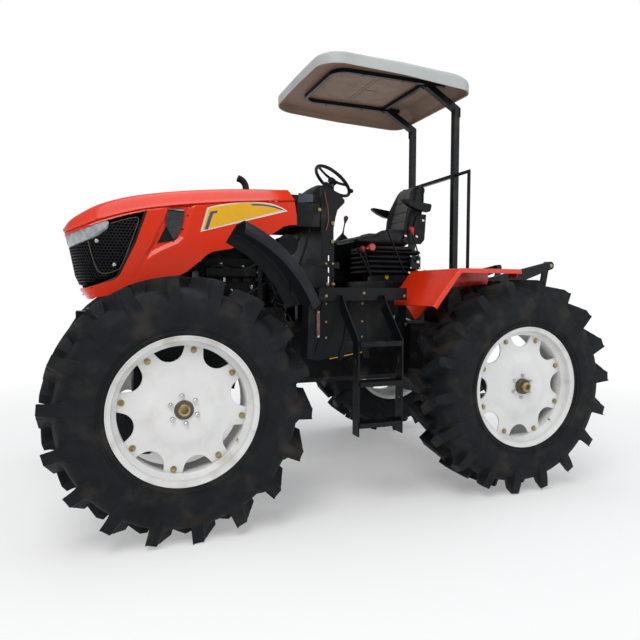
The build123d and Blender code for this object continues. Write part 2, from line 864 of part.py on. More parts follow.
hood_grille.part.label = "hood_grille"
export_step(hood_grille.part, "parts/hood_grille.step")

lamp_outline = ((1808, 1990), (1885, 1998), (1960, 1979), (2080, 1925), (2300, 1925), (2300, 1840), (2060, 1830))
with BuildPart() as headlamps:
    add(hood_form(2.0))
    add(grille_outer, mode=Mode.SUBTRACT)
    with BuildSketch(side_plane(0)):
        with BuildLine():
            Polyline(*lamp_outline, close=True)
        make_face()
    extrude(amount=500, both=True, mode=Mode.INTERSECT)
    with BuildSketch(Plane.YZ.offset(1700)):
        with Locations((0, 1900)):
            Rectangle(240, 400)
    extrude(amount=700, mode=Mode.SUBTRACT)
headlamps.part.label = "headlamps"
export_step(headlamps.part, "parts/headlamps.step")

with BuildPart() as tail_pipe:
    with BuildLine(side_plane(0)):
        Polyline((pipe_x, 2300), (pipe_x, 2400), (pipe_x + 70, 2470))
    with BuildSketch(Plane(origin=(pipe_x, 0, 2300))):
        Circle(pipe_radius)
    sweep(transition=Transition.ROUND)
tail_pipe.part.label = "tail_pipe"
export_step(tail_pipe.part, "parts/tail_pipe.step")

# ------------------------------------------------------------------ cowl, dash and steering
with BuildPart() as rear_cowl:
    with BuildSketch(Plane(origin=(418, 0, 0), x_dir=(0, 1, 0), z_dir=(1, 0, 0))):
        with BuildLine():
            Polyline((-380, 2045), (-380, 2230), (-250, 2312), (250, 2312), (380, 2230), (380, 2045), close=True)
        make_face()
        with BuildLine():
            Polyline((-368, 2044), (-368, 2222), (-244, 2300), (244, 2300), (368, 2222), (368, 2044), close=True)
        make_face(mode=Mode.SUBTRACT)
    extrude(amount=-203)
    for name, side in sides:
        with BuildSketch(side_plane(hinge_lug_y, side)):
            with BuildLine():
                Polyline(
                    (hood_hinge_x - 52, hood_hinge_z - 20),
                    (hood_hinge_x - 52, hood_hinge_z - 36),
                    (hood_hinge_x - 10, hood_hinge_z - 36),
                    (hood_hinge_x + 9, hood_hinge_z - 8),
                    (hood_hinge_x + 9, hood_hinge_z + 7),
                    (hood_hinge_x - 8, hood_hinge_z + 7),
                    (hood_hinge_x - 13, hood_hinge_z - 9),
                    (hood_hinge_x - 30, hood_hinge_z - 20),
                    close=True,
                )
            make_face()
        extrude(amount=-side * hinge_plate)
        with BuildSketch(side_plane(hinge_lug_y, side)):
            with Locations((hood_hinge_x, hood_hinge_z)):
                Circle(hinge_pin_radius)
        extrude(amount=-side * (hinge_ear_y + hinge_plate - hinge_lug_y + 5))
        with BuildSketch(side_plane(375, side)):
            with BuildLine():
                Polyline((400, 2204), (282, 2200), (263, 2156), (400, 2149), close=True)
            make_face()
        extrude(amount=-side * 20, mode=Mode.SUBTRACT)
rear_cowl.part.label = "rear_cowl"
export_step(rear_cowl.part, "parts/rear_cowl.step")

tower_half = 380.0
tower_sheet = 12.0
tower_front_x = 215.0
# Side plate of the tower above its leg, from the leg up to the dash and forward
plate_outline = (
    (103, floor_top + 480),
    (86, dash_top - 298),
    (70, dash_top - 240),
    (30, dash_top - 200),
    (8, dash_top - 178),
    (8, dash_top - 154),
    (34, dash_top - 130),
    (129, dash_top - 65),
    (tower_front_x, dash_top - 65),
)
with BuildPart() as dash_tower:
    for name, side in sides:
        with BuildSketch(side_plane(tower_half, side)):
            with BuildLine():
                Polyline((tower_front_x, floor_top), (103, floor_top), *plate_outline, close=True)
            make_face()
            with Locations((142, floor_top + 65), (142, floor_top + 150), (142, floor_top + 235)):
                SlotOverall(58, 18, rotation=90, mode=Mode.SUBTRACT)
        extrude(amount=side * tower_sheet)
    with BuildSketch(Plane.XY.offset(floor_top)):
        with Locations((tower_front_x - tower_sheet / 2, 0)):
            Rectangle(tower_sheet, 2 * tower_half)
    extrude(amount=tower_top - floor_top)
dash_tower.part.label = "dash_tower"
export_step(dash_tower.part, "parts/dash_tower.step")

# The sloping face of the dash lies square to the steering column, at the column's foot.
tilt = math.radians(wheel_tilt)
column_foot_x = steering_x + column_length * math.sin(tilt)
column_foot_z = steering_z - column_length * math.cos(tilt)
with BuildPart() as dash_panel:
    with BuildSketch(side_plane(0)):
        with BuildLine():
            Polyline(
                (column_foot_x - (column_foot_z - tower_top) / math.tan(tilt), tower_top),
                (column_foot_x + (dash_top - column_foot_z) / math.tan(tilt), dash_top),
                (150, dash_top),
                (215, dash_top - 67),
                (215, tower_top),
                close=True,
            )
        make_face()
    extrude(amount=200, both=True)
dash_panel.part.label = "dash_panel"
export_step(dash_panel.part, "parts/dash_panel.step")

wheel_normal = Vector(-math.sin(tilt), 0, math.cos(tilt))
wheel_hub = Vector(steering_x, 0, steering_z)
steering = Plane(origin=wheel_hub, x_dir=(math.cos(tilt), 0, math.sin(tilt)), z_dir=wheel_normal)
with BuildPart() as steering_column:
    with BuildSketch(steering.offset(-column_length)):
        Circle(32)
    extrude(amount=column_length - 45)
    with BuildSketch(steering.offset(-45)):
        Circle(spindle_radius)
    extrude(amount=39)
steering_column.part.label = "steering_column"
export_step(steering_column.part, "parts/steering_column.step")

with BuildPart() as steering_wheel:
    with BuildSketch(Plane(origin=wheel_hub, x_dir=steering.x_dir, z_dir=(0, 1, 0))):
        with Locations((steering_radius, 0)):
            Circle(steering_grip)
    revolve(axis=Axis(wheel_hub, wheel_normal))
    with BuildSketch(steering.offset(-22)):
        Circle(34)
    extrude(amount=30)
    with BuildSketch(steering.offset(-8)):
        for angle in (60, 180, 300):
            with Locations(Location((0, 0, 0), (0, 0, angle))):
                with Locations((steering_radius / 2, 0)):
                    Rectangle(steering_radius, 24)
    extrude(amount=8)
    with BuildSketch(steering.offset(-22)):
        Circle(spindle_radius + running_gap)
    extrude(amount=18, mode=Mode.SUBTRACT)
    with BuildSketch(steering):
        with Locations((0, steering_radius)):
            Circle(20)
    extrude(amount=48)
steering_wheel.part.label = "steering_wheel"
export_step(steering_wheel.part, "parts/steering_wheel.step")

# ------------------------------------------------------------------ platform
apron_bottom = floor_top - apron
beam_depth = apron - sheet
# Cross members: position forward, top and half width
member_width = 80.0
member_foot_y = 150.0
members = (
    (floor_front_x - 111, floor_top - sheet, 800),
    (floor_rear_x + 100, floor_top - sheet, 800),
    (floor_rear_x - 350, deck_top - sheet, 460),
)
with BuildPart() as platform_frame:
    for x, top, half in members:
        with BuildSketch(Plane.XY.offset(top)):
            with Locations((x, 0)):
                Rectangle(member_width, 2 * half)
        extrude(amount=-beam_depth)
        with BuildSketch(Plane.XY.offset(top - beam_depth)):
            with Locations((x, member_foot_y), (x, -member_foot_y)):
                Rectangle(member_width, 60)
        extrude(amount=gearbox_top - top + beam_depth)
    middle_x = (members[0][0] + members[1][0]) / 2
    with BuildSketch(Plane.XY.offset(apron_bottom)):
        with Locations((middle_x, member_foot_y), (middle_x, -member_foot_y)):
            Rectangle(members[0][0] - members[1][0], 50)
    extrude(amount=60)
platform_frame.part.label = "platform_frame"
export_step(platform_frame.part, "parts/platform_frame.step")

with BuildPart() as platform_floor:
    with BuildSketch(Plane.XY.offset(apron_bottom)):
        with Locations(((floor_front_x + floor_rear_x) / 2, 0)):
            Rectangle(floor_front_x - floor_rear_x, 2 * floor_half_width)
    extrude(amount=apron)
    with BuildSketch(Plane.XY.offset(apron_bottom)):
        with Locations(((floor_front_x + floor_rear_x) / 2, 0)):
            Rectangle(floor_front_x - floor_rear_x - 2 * sheet, 2 * (floor_half_width - sheet))
    extrude(amount=apron - sheet, mode=Mode.SUBTRACT)
platform_floor.part.label = "platform_floor"
export_step(platform_floor.part, "parts/platform_floor.step")

with BuildPart() as seat_deck:
    with BuildSketch(Plane.XY.offset(deck_top - sheet)):
        with Locations(((floor_rear_x + deck_rear_x) / 2, 0)):
            Rectangle(floor_rear_x - deck_rear_x, 2 * deck_half_width)
    extrude(amount=sheet)
    with BuildSketch(Plane.XY.offset(apron_bottom)):
        with Locations((floor_rear_x - sheet / 2, 0)):
            Rectangle(sheet, 2 * deck_half_width)
    extrude(amount=deck_top - apron_bottom)
seat_deck.part.label = "seat_deck"
export_step(seat_deck.part, "parts/seat_deck.step")

tank_outline = ((-330, apron_bottom), (400, apron_bottom), (415, 1023), (330, 1005), (-301, 1124))
with BuildPart() as side_tanks:
    for name, side in sides:
        with BuildSketch(side_plane(470, side)):
            with BuildLine():
                Polyline(*tank_outline, close=True)
            make_face()
        extrude(amount=-side * 140)
side_tanks.part.label = "side_tanks"
export_step(side_tanks.part, "parts/side_tanks.step")

ladder_top = apron_bottom + 33.0
ladder_bottom = 545.0
rail_out = 1170.0
rail_width = 90.0
rail_plate = 10.0
rung_depth = 120.0
rung_plate = 30.0
rail_positions = (-85.0, 250.0)
rungs = (1189.0, 916.0, 634.0)
with BuildPart() as ladders:
    for name, side in sides:
        for x in rail_positions:
            with BuildSketch(Plane(origin=(x, 0, 0), x_dir=(0, side, 0), z_dir=(side, 0, 0))):
                with BuildLine():
                    Polyline(
                        (floor_half_width, ladder_top),
                        (floor_half_width, ladder_top - 100),
                        (rail_out - rail_width, rungs[0] - 9),
                        (rail_out - rail_width, ladder_bottom),
                        (rail_out, ladder_bottom),
                        (rail_out, rungs[0] + 11),
                        (floor_half_width + 90, ladder_top - 60),
                        (floor_half_width + 50, ladder_top),
                        close=True,
                    )
                make_face()
                with Locations(*[(rail_out - rail_width / 2, (high + low) / 2) for high, low in zip(rungs, rungs[1:])]):
                    SlotOverall(44, 26, rotation=90, mode=Mode.SUBTRACT)
            extrude(amount=rail_plate / 2, both=True)
        for z in rungs:
            with BuildSketch(Plane.XY.offset(z)):
                with Locations((sum(rail_positions) / 2, side * (rail_out - 45))):
                    Rectangle(rail_positions[1] - rail_positions[0] - rail_plate, rung_depth)
            extrude(amount=-rung_plate)
            with BuildSketch(Plane.XY.offset(z - 4)):
                with Locations((sum(rail_positions) / 2, side * (rail_out - 45))):
                    Rectangle(rail_positions[1] - rail_positions[0] - rail_plate - 8, rung_depth - 12)
            extrude(amount=-rung_plate, mode=Mode.SUBTRACT)
ladders.part.label = "ladders"
export_step(ladders.part, "parts/ladders.step")

# ------------------------------------------------------------------ fenders
fender_x = 1405.0
fender_z = 1096.0
fender_rows = ((720, 850), (800, 945), (960, 1000), (1130, 950), (1220, 902))
fender_foot_angle = 22.0
fender_arc = 47.0
fender_centre = Vector(fender_x, 0, fender_z)
foot = math.radians(fender_foot_angle)
with BuildPart() as front_fenders:
    for name, side in sides:
        rearward = Plane(
            origin=fender_centre,
            x_dir=(-math.cos(foot), 0, math.sin(foot)),
            z_dir=(-side * math.sin(foot), 0, -side * math.cos(foot)),
        )
        with BuildSketch(rearward):
            with BuildLine():
                Polyline(
                    *[(radius, y) for y, radius in fender_rows],
                    *[(radius - 7, y) for y, radius in reversed(fender_rows)],
                    close=True,
                )
            make_face()
        revolve(axis=Axis(fender_centre, (0, 1, 0)), revolution_arc=fender_arc)
        with BuildSketch(Plane.XY.offset(1480)):
            with Locations(((floor_front_x + 610) / 2, side * 810)):
                Rectangle(610 - floor_front_x, 60)
        extrude(amount=30)
front_fenders.part.label = "front_fenders"
export_step(front_fenders.part, "parts/front_fenders.step")

with BuildPart() as rear_fenders:
    for name, side in sides:
        with BuildSketch(side_plane(fender_outer_y, side)):
            with BuildLine():
                Polyline(
                    (fender_rear_x, fender_top),
                    (fender_knee_x, fender_top),
                    (fender_knee_x + 216, fender_top - 275),
                    (fender_knee_x + 208, fender_top - 281),
                    (fender_knee_x - 8, fender_top - 10),
                    (fender_rear_x, fender_top - 10),
                    close=True,
                )
            make_face()
        extrude(amount=side * (fender_outer_y - fender_inner_y))
        with BuildSketch(side_plane(750, side)):
            with BuildLine():
                Polyline(
                    (fender_rear_x, fender_top - 5),
                    (fender_knee_x, fender_top - 5),
                    (fender_knee_x + 212, fender_top - 278),
                    (fender_knee_x + 125, fender_top - 392),
                    (fender_knee_x - 140, fender_top - 145),
                    (fender_rear_x, fender_top - 105),
                    close=True,
                )
            make_face()
        extrude(amount=side * 10)
        with BuildSketch(side_plane(fender_inner_y, side)):
            with BuildLine():
                Polyline(
                    (fender_rear_x, fender_top - 5),
                    (fender_knee_x, fender_top - 5),
                    (fender_knee_x + 60, deck_top),
                    (fender_knee_x + 60, deck_top - 20),
                    (fender_rear_x, deck_top - 20),
                    close=True,
                )
            make_face()
        extrude(amount=-side * 10)
rear_fenders.part.label = "rear_fenders"
export_step(rear_fenders.part, "parts/rear_fenders.step")

# ------------------------------------------------------------------ seat and console
foot_height = 60.0
fold_depth = 25.0
with BuildPart() as seat_base:
    with BuildSketch(Plane.XY.offset(deck_top)):
        with Locations((seat_x, 0)):
            Rectangle(380, 340)
    extrude(amount=foot_height)
    for level in range(2 * fold_count + 1):
        inset = fold_depth * (1 - level % 2)
        with BuildSketch(Plane.XY.offset(deck_top + foot_height + level * fold_height / 2)):
            with Locations((seat_x + 30, 0)):
                Rectangle(540 - 2 * inset, 400 - 2 * inset)
    loft(ruled=True)
    with BuildSketch(Plane.XY.offset(deck_top + foot_height + fold_count * fold_height)):
        with Locations((seat_x + 130, 0)):
            RectangleRounded(560, 440, 40)
    extrude(amount=25)
seat_base.part.label = "seat_base"
export_step(seat_base.part, "parts/seat_base.step")

with BuildPart() as seat_cushion:
    with BuildSketch(Plane.XY.offset(seat_z + running_gap)):
        with Locations((seat_x + 180, 0)):
            RectangleRounded(510, 500, 60)
    extrude(amount=110)
seat_cushion.part.label = "seat_cushion"
export_step(seat_cushion.part, "parts/seat_cushion.step")

back_foot = seat_z + 65.0
back_top = seat_z + 575.0
with BuildPart() as seat_back:
    with BuildSketch(side_plane(0)):
        with BuildLine():
            Polyline(
                (seat_x - 90, back_foot),
                (seat_x - 150, back_top - 30),
                (seat_x - 190, back_top),
                (seat_x - 280, back_top - 10),
                (seat_x - 200, back_foot),
                close=True,
            )
        make_face()
    extrude(amount=240, both=True)
seat_back.part.label = "seat_back"
export_step(seat_back.part, "parts/seat_back.step")

arm_y = 290.0
arm_z = seat_z + 370.0
with BuildPart() as seat_frame:
    with BuildSketch(side_plane(0)):
        with BuildLine():
            Polyline(
                (seat_x - 140, seat_z + running_gap),
                (seat_x - 140, back_foot - running_gap),
                (seat_x - 200.5, back_foot - running_gap),
                (seat_x - 260, arm_z + 35),
                (seat_x - 275, arm_z + 35),
                (seat_x - 215, seat_z + running_gap),
                close=True,
            )
        make_face()
    extrude(amount=200, both=True)
    for side in (1, -1):
        with BuildSketch(side_plane(arm_y, side)):
            with BuildLine():
                Polyline(
                    (seat_x + 24, arm_z + 35),
                    (seat_x + 24, arm_z),
                    (seat_x - 235, arm_z - 55),
                    (seat_x - 260, arm_z - 55),
                    (seat_x - 260, arm_z - 15),
                    (seat_x - 235, arm_z - 5),
                    close=True,
                )
            make_face()
        extrude(amount=30, both=True)
        with BuildSketch(Plane(origin=(seat_x - 257, side * 200, arm_z - 35), x_dir=(1, 0, 0), z_dir=(0, side, 0))):
            Rectangle(18, 30)
        extrude(amount=arm_y - 220)
seat_frame.part.label = "seat_frame"
export_step(seat_frame.part, "parts/seat_frame.step")

boot_height = 70.0
with BuildPart() as gear_console:
    with BuildSketch(side_plane(console_y, -1)):
        with BuildLine():
            Polyline(
                (console_front_x, floor_top),
                (console_front_x, console_top),
                (console_rear_x, console_top),
                (console_rear_x, deck_top),
                (floor_rear_x, deck_top),
                (floor_rear_x, floor_top),
                close=True,
            )
        make_face()
    extrude(amount=65, both=True)
    with BuildSketch(Plane.XY.offset(console_top)):
        with Locations((lever_x, -console_y)):
            Rectangle(150, 110)
    with BuildSketch(Plane.XY.offset(console_top + boot_height)):
        with Locations((lever_x, -console_y)):
            Rectangle(34, 34)
    loft()
    with BuildSketch(Plane.XY.offset(console_top)):
        with Locations((lever_x, -console_y)):
            Circle(7)
    extrude(amount=220)
    with BuildSketch(Plane.XY.offset(console_top + 210)):
        with Locations((lever_x, -console_y)):
            Circle(20)
    extrude(amount=45, taper=6)
gear_console.part.label = "gear_console"
export_step(gear_console.part, "parts/gear_console.step")

# ------------------------------------------------------------------ canopy
with BuildPart() as canopy_frame:
    with BuildSketch(Plane.XY.offset(loop_z)) as loop_outside:
        with Locations(((loop_front_x + stub_rear_x) / 2, 0)):
            Rectangle(loop_front_x - stub_rear_x, 2 * loop_half_width + loop_tube)
        fillet(loop_outside.vertices().sort_by(Axis.X)[-2:], loop_corner)
    extrude(amount=-loop_tube)
    with BuildSketch(Plane.XY.offset(loop_z)) as loop_inside:
        with Locations(((loop_front_x - loop_tube + stub_rear_x) / 2, 0)):
            Rectangle(loop_front_x - loop_tube - stub_rear_x, 2 * loop_half_width - loop_tube)
        fillet(loop_inside.vertices().sort_by(Axis.X)[-2:], loop_corner - loop_tube)
    extrude(amount=-loop_tube, mode=Mode.SUBTRACT)
    with BuildSketch(Plane.XY.offset(loop_z)):
        with Locations((loop_rear_x, 0)):
            Rectangle(loop_tube, 2 * loop_half_width)
    extrude(amount=-loop_tube)
    for side in (1, -1):
        with BuildSketch(Plane.XY.offset(deck_top)):
            with Locations((post_x, side * post_y)):
                Rectangle(2 * post_half, 2 * post_half)
        extrude(amount=knee_z - deck_top)
        with BuildSketch(side_plane(post_y, side)):
            with BuildLine():
                Polyline(
                    (post_x - post_half, knee_z - 20),
                    (post_x - post_half, knee_z + 12),
                    (loop_rear_x - 40, loop_z),
                    (loop_rear_x + loop_tube / 2, loop_z),
                    (loop_rear_x + loop_tube / 2, loop_z - 44),
                    (loop_rear_x - 12, loop_z - 44),
                    (post_x + post_half, knee_z - 20),
                    close=True,
                )
            make_face()
        extrude(amount=post_half, both=True)
    with BuildSketch(Plane(origin=(post_x, 0, grab_top_z), x_dir=(1, 0, 0), z_dir=(0, 1, 0))):
        Rectangle(30, 30)
    extrude(amount=post_y, both=True)
    with BuildLine():
        Polyline((post_x, grab_y, fender_top), (post_x, grab_y, grab_top_z), (post_x, post_y, grab_top_z))
    with BuildSketch(Plane(origin=(post_x, grab_y, fender_top))):
        Circle(14)
    sweep(transition=Transition.RIGHT)
canopy_frame.part.label = "canopy_frame"
export_step(canopy_frame.part, "parts/canopy_frame.step")



def roof_outline(plane, rear_inset, side_inset, front_inset, corner):
    """Outline of the roof on a plane, drawn in at its rear, sides and front, with round corners."""
    rear_x = roof_rear_x + rear_inset
    front_x = roof_front_x - front_inset
    middle_x = (rear_x + front_x) / 2
    wide = roof_half_width - side_inset
    with BuildSketch(plane) as outline:
        with BuildLine():
            Polyline(
                (rear_x, wide - 38),
                (middle_x, wide),
                (front_x, wide - 28),
                (front_x, 28 - wide),
                (middle_x, -wide),
                (rear_x, 38 - wide),
                close=True,
            )
        make_face()
        corners = outline.vertices().sort_by(Axis.X)
        fillet(corners[:2], corner)
        fillet(corners[-2:], 1.6 * corner)
    return outline.sketch.face()


# The rim lies in a plane that rises to the front; the ceiling inside lies flat on the frame's loop.
rise = math.radians(roof_tilt)
rim_plane = Plane(
    origin=(0, 0, roof_rim_z),
    x_dir=(math.cos(rise), 0, math.sin(rise)),
    z_dir=(-math.sin(rise), 0, math.cos(rise)),
)
outer_sections = [
    roof_outline(rim_plane, 0, 0, 0, 130),
    roof_outline(rim_plane.offset(roof_skirt), 0, 0, 0, 130),
    roof_outline(Plane.XY.offset(roof_crown_z), 120, 130, 130, 100),
]
inner_sections = [
    roof_outline(rim_plane.offset(-roof_skirt), roof_lip, roof_lip, roof_lip, 120),
    roof_outline(rim_plane, roof_lip, roof_lip, roof_lip, 120),
    roof_outline(Plane.XY.offset(loop_z), 90, 215, 170, 60),
]
with BuildPart() as canopy_roof:
    loft(outer_sections, ruled=True)
    loft(inner_sections, ruled=True, mode=Mode.SUBTRACT)
canopy_roof.part.label = "canopy_roof"
export_step(canopy_roof.part, "parts/canopy_roof.step")

# ------------------------------------------------------------------ hitch
with BuildPart() as lift_housing:
    with BuildSketch(side_plane(0)):
        with BuildLine():
            Polyline(
                (casing_rear_x + 330, casing_top),
                (casing_rear_x + 330, 1560),
                (casing_rear_x + 270, 1600),
                (lift_pivot_x + 60, 1640),
                (lift_pivot_x - 70, 1640),
                (casing_rear_x - 110, 1500),
                (casing_rear_x - 110, 1000),
                (casing_rear_x, 1000),
                (casing_rear_x, casing_top),
                close=True,
            )
        make_face()
    extrude(amount=200, both=True)
    with BuildSketch(side_plane(0)):
        with Locations((lift_pivot_x, lift_pivot_z)):
            Circle(70)
    extrude(amount=250, both=True)
    with BuildSketch(side_plane(0)):
        with Locations((lift_pivot_x, lift_pivot_z)):
            Circle(lift_shaft_radius + running_gap)
    extrude(amount=250, both=True, mode=Mode.SUBTRACT)
    for side in (1, -1):
        with BuildSketch(side_plane(30, side)):
            with BuildLine():
                Polyline(
                    (top_link_x + 55, top_link_z + 60),
                    (top_link_x + 55, top_link_z - 60),
                    (top_link_x - 30, top_link_z - 30),
                    (top_link_x - 30, top_link_z + 30),
                    close=True,
                )
            make_face()
            with Locations((top_link_x, top_link_z)):
                Circle(12.9, mode=Mode.SUBTRACT)
        extrude(amount=-side * 20)
lift_housing.part.label = "lift_housing"
export_step(lift_housing.part, "parts/lift_housing.step")

with BuildPart() as lift_arms:
    with BuildSketch(side_plane(0)):
        with Locations((lift_pivot_x, lift_pivot_z)):
            Circle(lift_shaft_radius)
    extrude(amount=lift_arm_y, both=True)
    for side in (1, -1):
        slope = math.atan2(lift_tip_z - lift_pivot_z, lift_pivot_x - lift_tip_x)
        up = Vector(math.sin(slope), math.cos(slope))
        with BuildSketch(side_plane(lift_arm_y, side)):
            with Locations((lift_pivot_x, lift_pivot_z)):
                Circle(75)
            with Locations((lift_tip_x, lift_tip_z)):
                Circle(38)
            with BuildLine():
                Polyline(
                    (lift_pivot_x + 72 * up.X, lift_pivot_z + 72 * up.Y),
                    (lift_tip_x + 36 * up.X, lift_tip_z + 36 * up.Y),
                    (lift_tip_x - 36 * up.X, lift_tip_z - 36 * up.Y),
                    (lift_pivot_x - 72 * up.X, lift_pivot_z - 72 * up.Y),
                    close=True,
                )
            make_face()
        extrude(amount=lift_arm_thickness / 2, both=True)
        with BuildSketch(side_plane(lift_arm_y, side)):
            with Locations((lift_tip_x, lift_tip_z)):
                Circle(hitch_pin_radius)
        extrude(amount=side * (lift_arm_y - rod_y + rod_thickness / 2 + 6))
lift_arms.part.label = "lift_arms"
export_step(lift_arms.part, "parts/lift_arms.step")

link_slope = math.atan2(rod_foot_z - link_pivot_z, link_pivot_x - rod_foot_x)
link_end_x = link_pivot_x - link_length * math.cos(link_slope)
link_end_z = link_pivot_z + link_length * math.sin(link_slope)
rod_length = math.hypot(lift_tip_x - rod_foot_x, lift_tip_z - rod_foot_z)
for name, side in sides:
    rod_dir = Vector(rod_foot_x - lift_tip_x, rod_foot_z - lift_tip_z).normalized()
    with BuildPart() as lift_rod:
        rod_plane = Plane(origin=(lift_tip_x, side * rod_y, lift_tip_z), x_dir=(rod_dir.X, 0, rod_dir.Y), z_dir=(0, -1, 0))
        with BuildSketch(rod_plane):
            with Locations((rod_length / 2, 0)):
                SlotOverall(rod_length + 80, 60)
            Circle(hitch_pin_radius + running_gap, mode=Mode.SUBTRACT)
            with Locations((rod_length, 0)):
                SlotOverall(2 * (hitch_pin_radius + 1.5) + float_travel, 2 * (hitch_pin_radius + 1.5), mode=Mode.SUBTRACT)
        extrude(amount=rod_thickness / 2, both=True)
    lift_rod.part.label = "lift_rod_" + name
    export_step(lift_rod.part, "parts/lift_rod_" + name + ".step")

    link_y = lift_arm_y
    link_dir = Vector(-math.cos(link_slope), 0, math.sin(link_slope))
    with BuildPart() as lower_link:
        link_plane = Plane(origin=(link_pivot_x, side * link_y, link_pivot_z), x_dir=link_dir, z_dir=(0, -1, 0))
        with BuildSketch(link_plane):
            with Locations((link_length / 2, 0)):
                Rectangle(link_length, 64)
            Circle(42)
        extrude(amount=link_thickness / 2, both=True)
        with BuildSketch(link_plane):
            with Locations((link_length, 0)):
                Circle(45)
        extrude(amount=22.5, both=True)
        with BuildSketch(link_plane):
            with Locations((link_length, 0)):
                Circle(14.4)
            Circle(link_pin_radius + running_gap)
        extrude(amount=40, both=True, mode=Mode.SUBTRACT)
        with BuildSketch(side_plane(link_y, side)):
            with Locations((rod_foot_x, rod_foot_z)):
                Circle(hitch_pin_radius)
        extrude(amount=side * (link_y - rod_y + rod_thickness / 2 + 6))
    lower_link.part.label = "lower_link_" + name
    export_step(lower_link.part, "parts/lower_link_" + name + ".step")

with BuildPart() as drawbar:
    with BuildSketch(side_plane(0)):
        with BuildLine():
            Polyline(
                (casing_rear_x + 210, casing_bottom),
                (casing_rear_x, casing_bottom),
                (casing_rear_x, drawbar_top),
                (casing_rear_x + 210, drawbar_top),
                close=True,
            )
        make_face()
    extrude(amount=200, both=True)
    with BuildSketch(Plane.XY.offset(drawbar_top)):
        with Locations((casing_rear_x - 120, 0)):
            Rectangle(660, 80)
        with Locations((casing_rear_x - 410, 0)):
            Circle(15, mode=Mode.SUBTRACT)
    extrude(amount=-35)
drawbar.part.label = "drawbar"
export_step(drawbar.part, "parts/drawbar.step")

with BuildPart() as pto_shaft:
    with BuildSketch(Plane(origin=(casing_rear_x, 0, 760), x_dir=(0, 1, 0), z_dir=(-1, 0, 0))):
        Circle(50)
    extrude(amount=30)
    with BuildSketch(Plane(origin=(casing_rear_x - 30, 0, 760), x_dir=(0, 1, 0), z_dir=(-1, 0, 0))):
        Circle(17.5)
    extrude(amount=90)
pto_shaft.part.label = "pto_shaft"
export_step(pto_shaft.part, "parts/pto_shaft.step")
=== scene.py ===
import math
import random

import bmesh
import bpy
from mathutils import Matrix, Vector


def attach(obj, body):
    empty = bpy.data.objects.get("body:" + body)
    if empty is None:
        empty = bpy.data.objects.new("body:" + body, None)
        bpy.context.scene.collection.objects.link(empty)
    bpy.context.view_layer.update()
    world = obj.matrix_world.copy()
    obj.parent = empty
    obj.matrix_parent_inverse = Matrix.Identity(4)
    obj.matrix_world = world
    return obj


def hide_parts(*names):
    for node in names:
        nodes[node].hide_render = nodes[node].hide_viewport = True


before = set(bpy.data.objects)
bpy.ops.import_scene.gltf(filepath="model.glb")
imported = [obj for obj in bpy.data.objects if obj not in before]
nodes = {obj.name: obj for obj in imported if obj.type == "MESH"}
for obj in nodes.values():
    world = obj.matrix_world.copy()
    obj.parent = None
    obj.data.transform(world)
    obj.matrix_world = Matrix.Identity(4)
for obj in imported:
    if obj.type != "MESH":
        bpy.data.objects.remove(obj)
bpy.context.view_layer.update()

# Shapes are in the part's own millimetres and become metres in raw_mesh.
MM = 0.001
BOTH = (1, -1)
SIDES = (("left", 1), ("right", -1))
TURN = 2 * math.pi


# ------------------------------------------------------------------ materials
def rgb(hex_text):
    """Linear colour from an sRGB hex string."""
    out = []
    for i in (0, 2, 4):
        c = int(hex_text[i : i + 2], 16) / 255
        out.append(c / 12.92 if c <= 0.04045 else ((c + 0.055) / 1.055) ** 2.4)
    return (*out, 1.0)


def node(tree, kind, inputs=None, **settings):
    """New shader node; an input takes a value or another node's output."""
    made = tree.nodes.new("ShaderNode" + kind)
    for key, value in settings.items():
        setattr(made, key, value)
    for key, value in (inputs or {}).items():
        if isinstance(value, bpy.types.NodeSocket):
            tree.links.new(value, made.inputs[key])
        else:
            made.inputs[key].default_value = value
    return made


def surface(name, colour, rough=0.5, metal=0.0, vary=0.25, scale=5.0, bump=0.08, grain=90.0, coat=0.0,
            dust=None, dust_amount=0.0, dust_scale=3.0, spec=0.5):
    """Painted, cast or moulded surface: uneven colour and gloss, a fine grain, dust or wear in patches."""
    material = bpy.data.materials.new(name)
    material.use_nodes = True
    tree = material.node_tree
    tree.nodes.clear()
    at = node(tree, "TexCoord").outputs["Object"]

    def noise(size, detail, seed):
        spot = node(tree, "Mapping", {0: at, "Location": (seed, seed * 0.7, -seed)})
        return node(tree, "TexNoise", {"Vector": spot.outputs[0], "Scale": size, "Detail": detail}).outputs[0]

    def ramp(source, low, high, start, end):
        limits = {0: source, "From Min": low, "From Max": high, "To Min": start, "To Max": end}
        return node(tree, "MapRange", limits).outputs[0]

    def mix(factor, a, b):
        return node(tree, "Mix", {0: factor, 6: a, 7: b}, data_type="RGBA").outputs[2]

    base = rgb(colour)[:3]
    dark = tuple(c * (1 - vary) for c in base) + (1.0,)
    light = tuple(min(1.0, c * (1 + vary)) for c in base) + (1.0,)
    tone = mix(ramp(noise(scale, 6.0, 1.0), 0.3, 0.7, 0, 1), dark, light)
    if dust:
        start = 0.62 - dust_amount * 0.35
        patches = ramp(noise(dust_scale, 8.0, 5.0), start, 0.78, 0, min(1.0, dust_amount * 2))
        tone = mix(patches, tone, rgb(dust))
    gloss = ramp(noise(scale * 3, 5.0, 9.0), 0.3, 0.7, rough * 0.85, min(1.0, rough * 1.15))
    relief = node(tree, "Bump", {"Strength": bump, "Distance": 0.002, "Height": noise(grain, 4.0, 3.0)})
    shader = node(tree, "BsdfPrincipled", {"Base Color": tone, "Roughness": gloss,
                                           "Normal": relief.outputs[0], "Metallic": metal,
                                           "Specular IOR Level": spec, "Coat Weight": coat,
                                           "Coat Roughness": 0.12})
    node(tree, "OutputMaterial", {0: shader.outputs[0]})
    return material


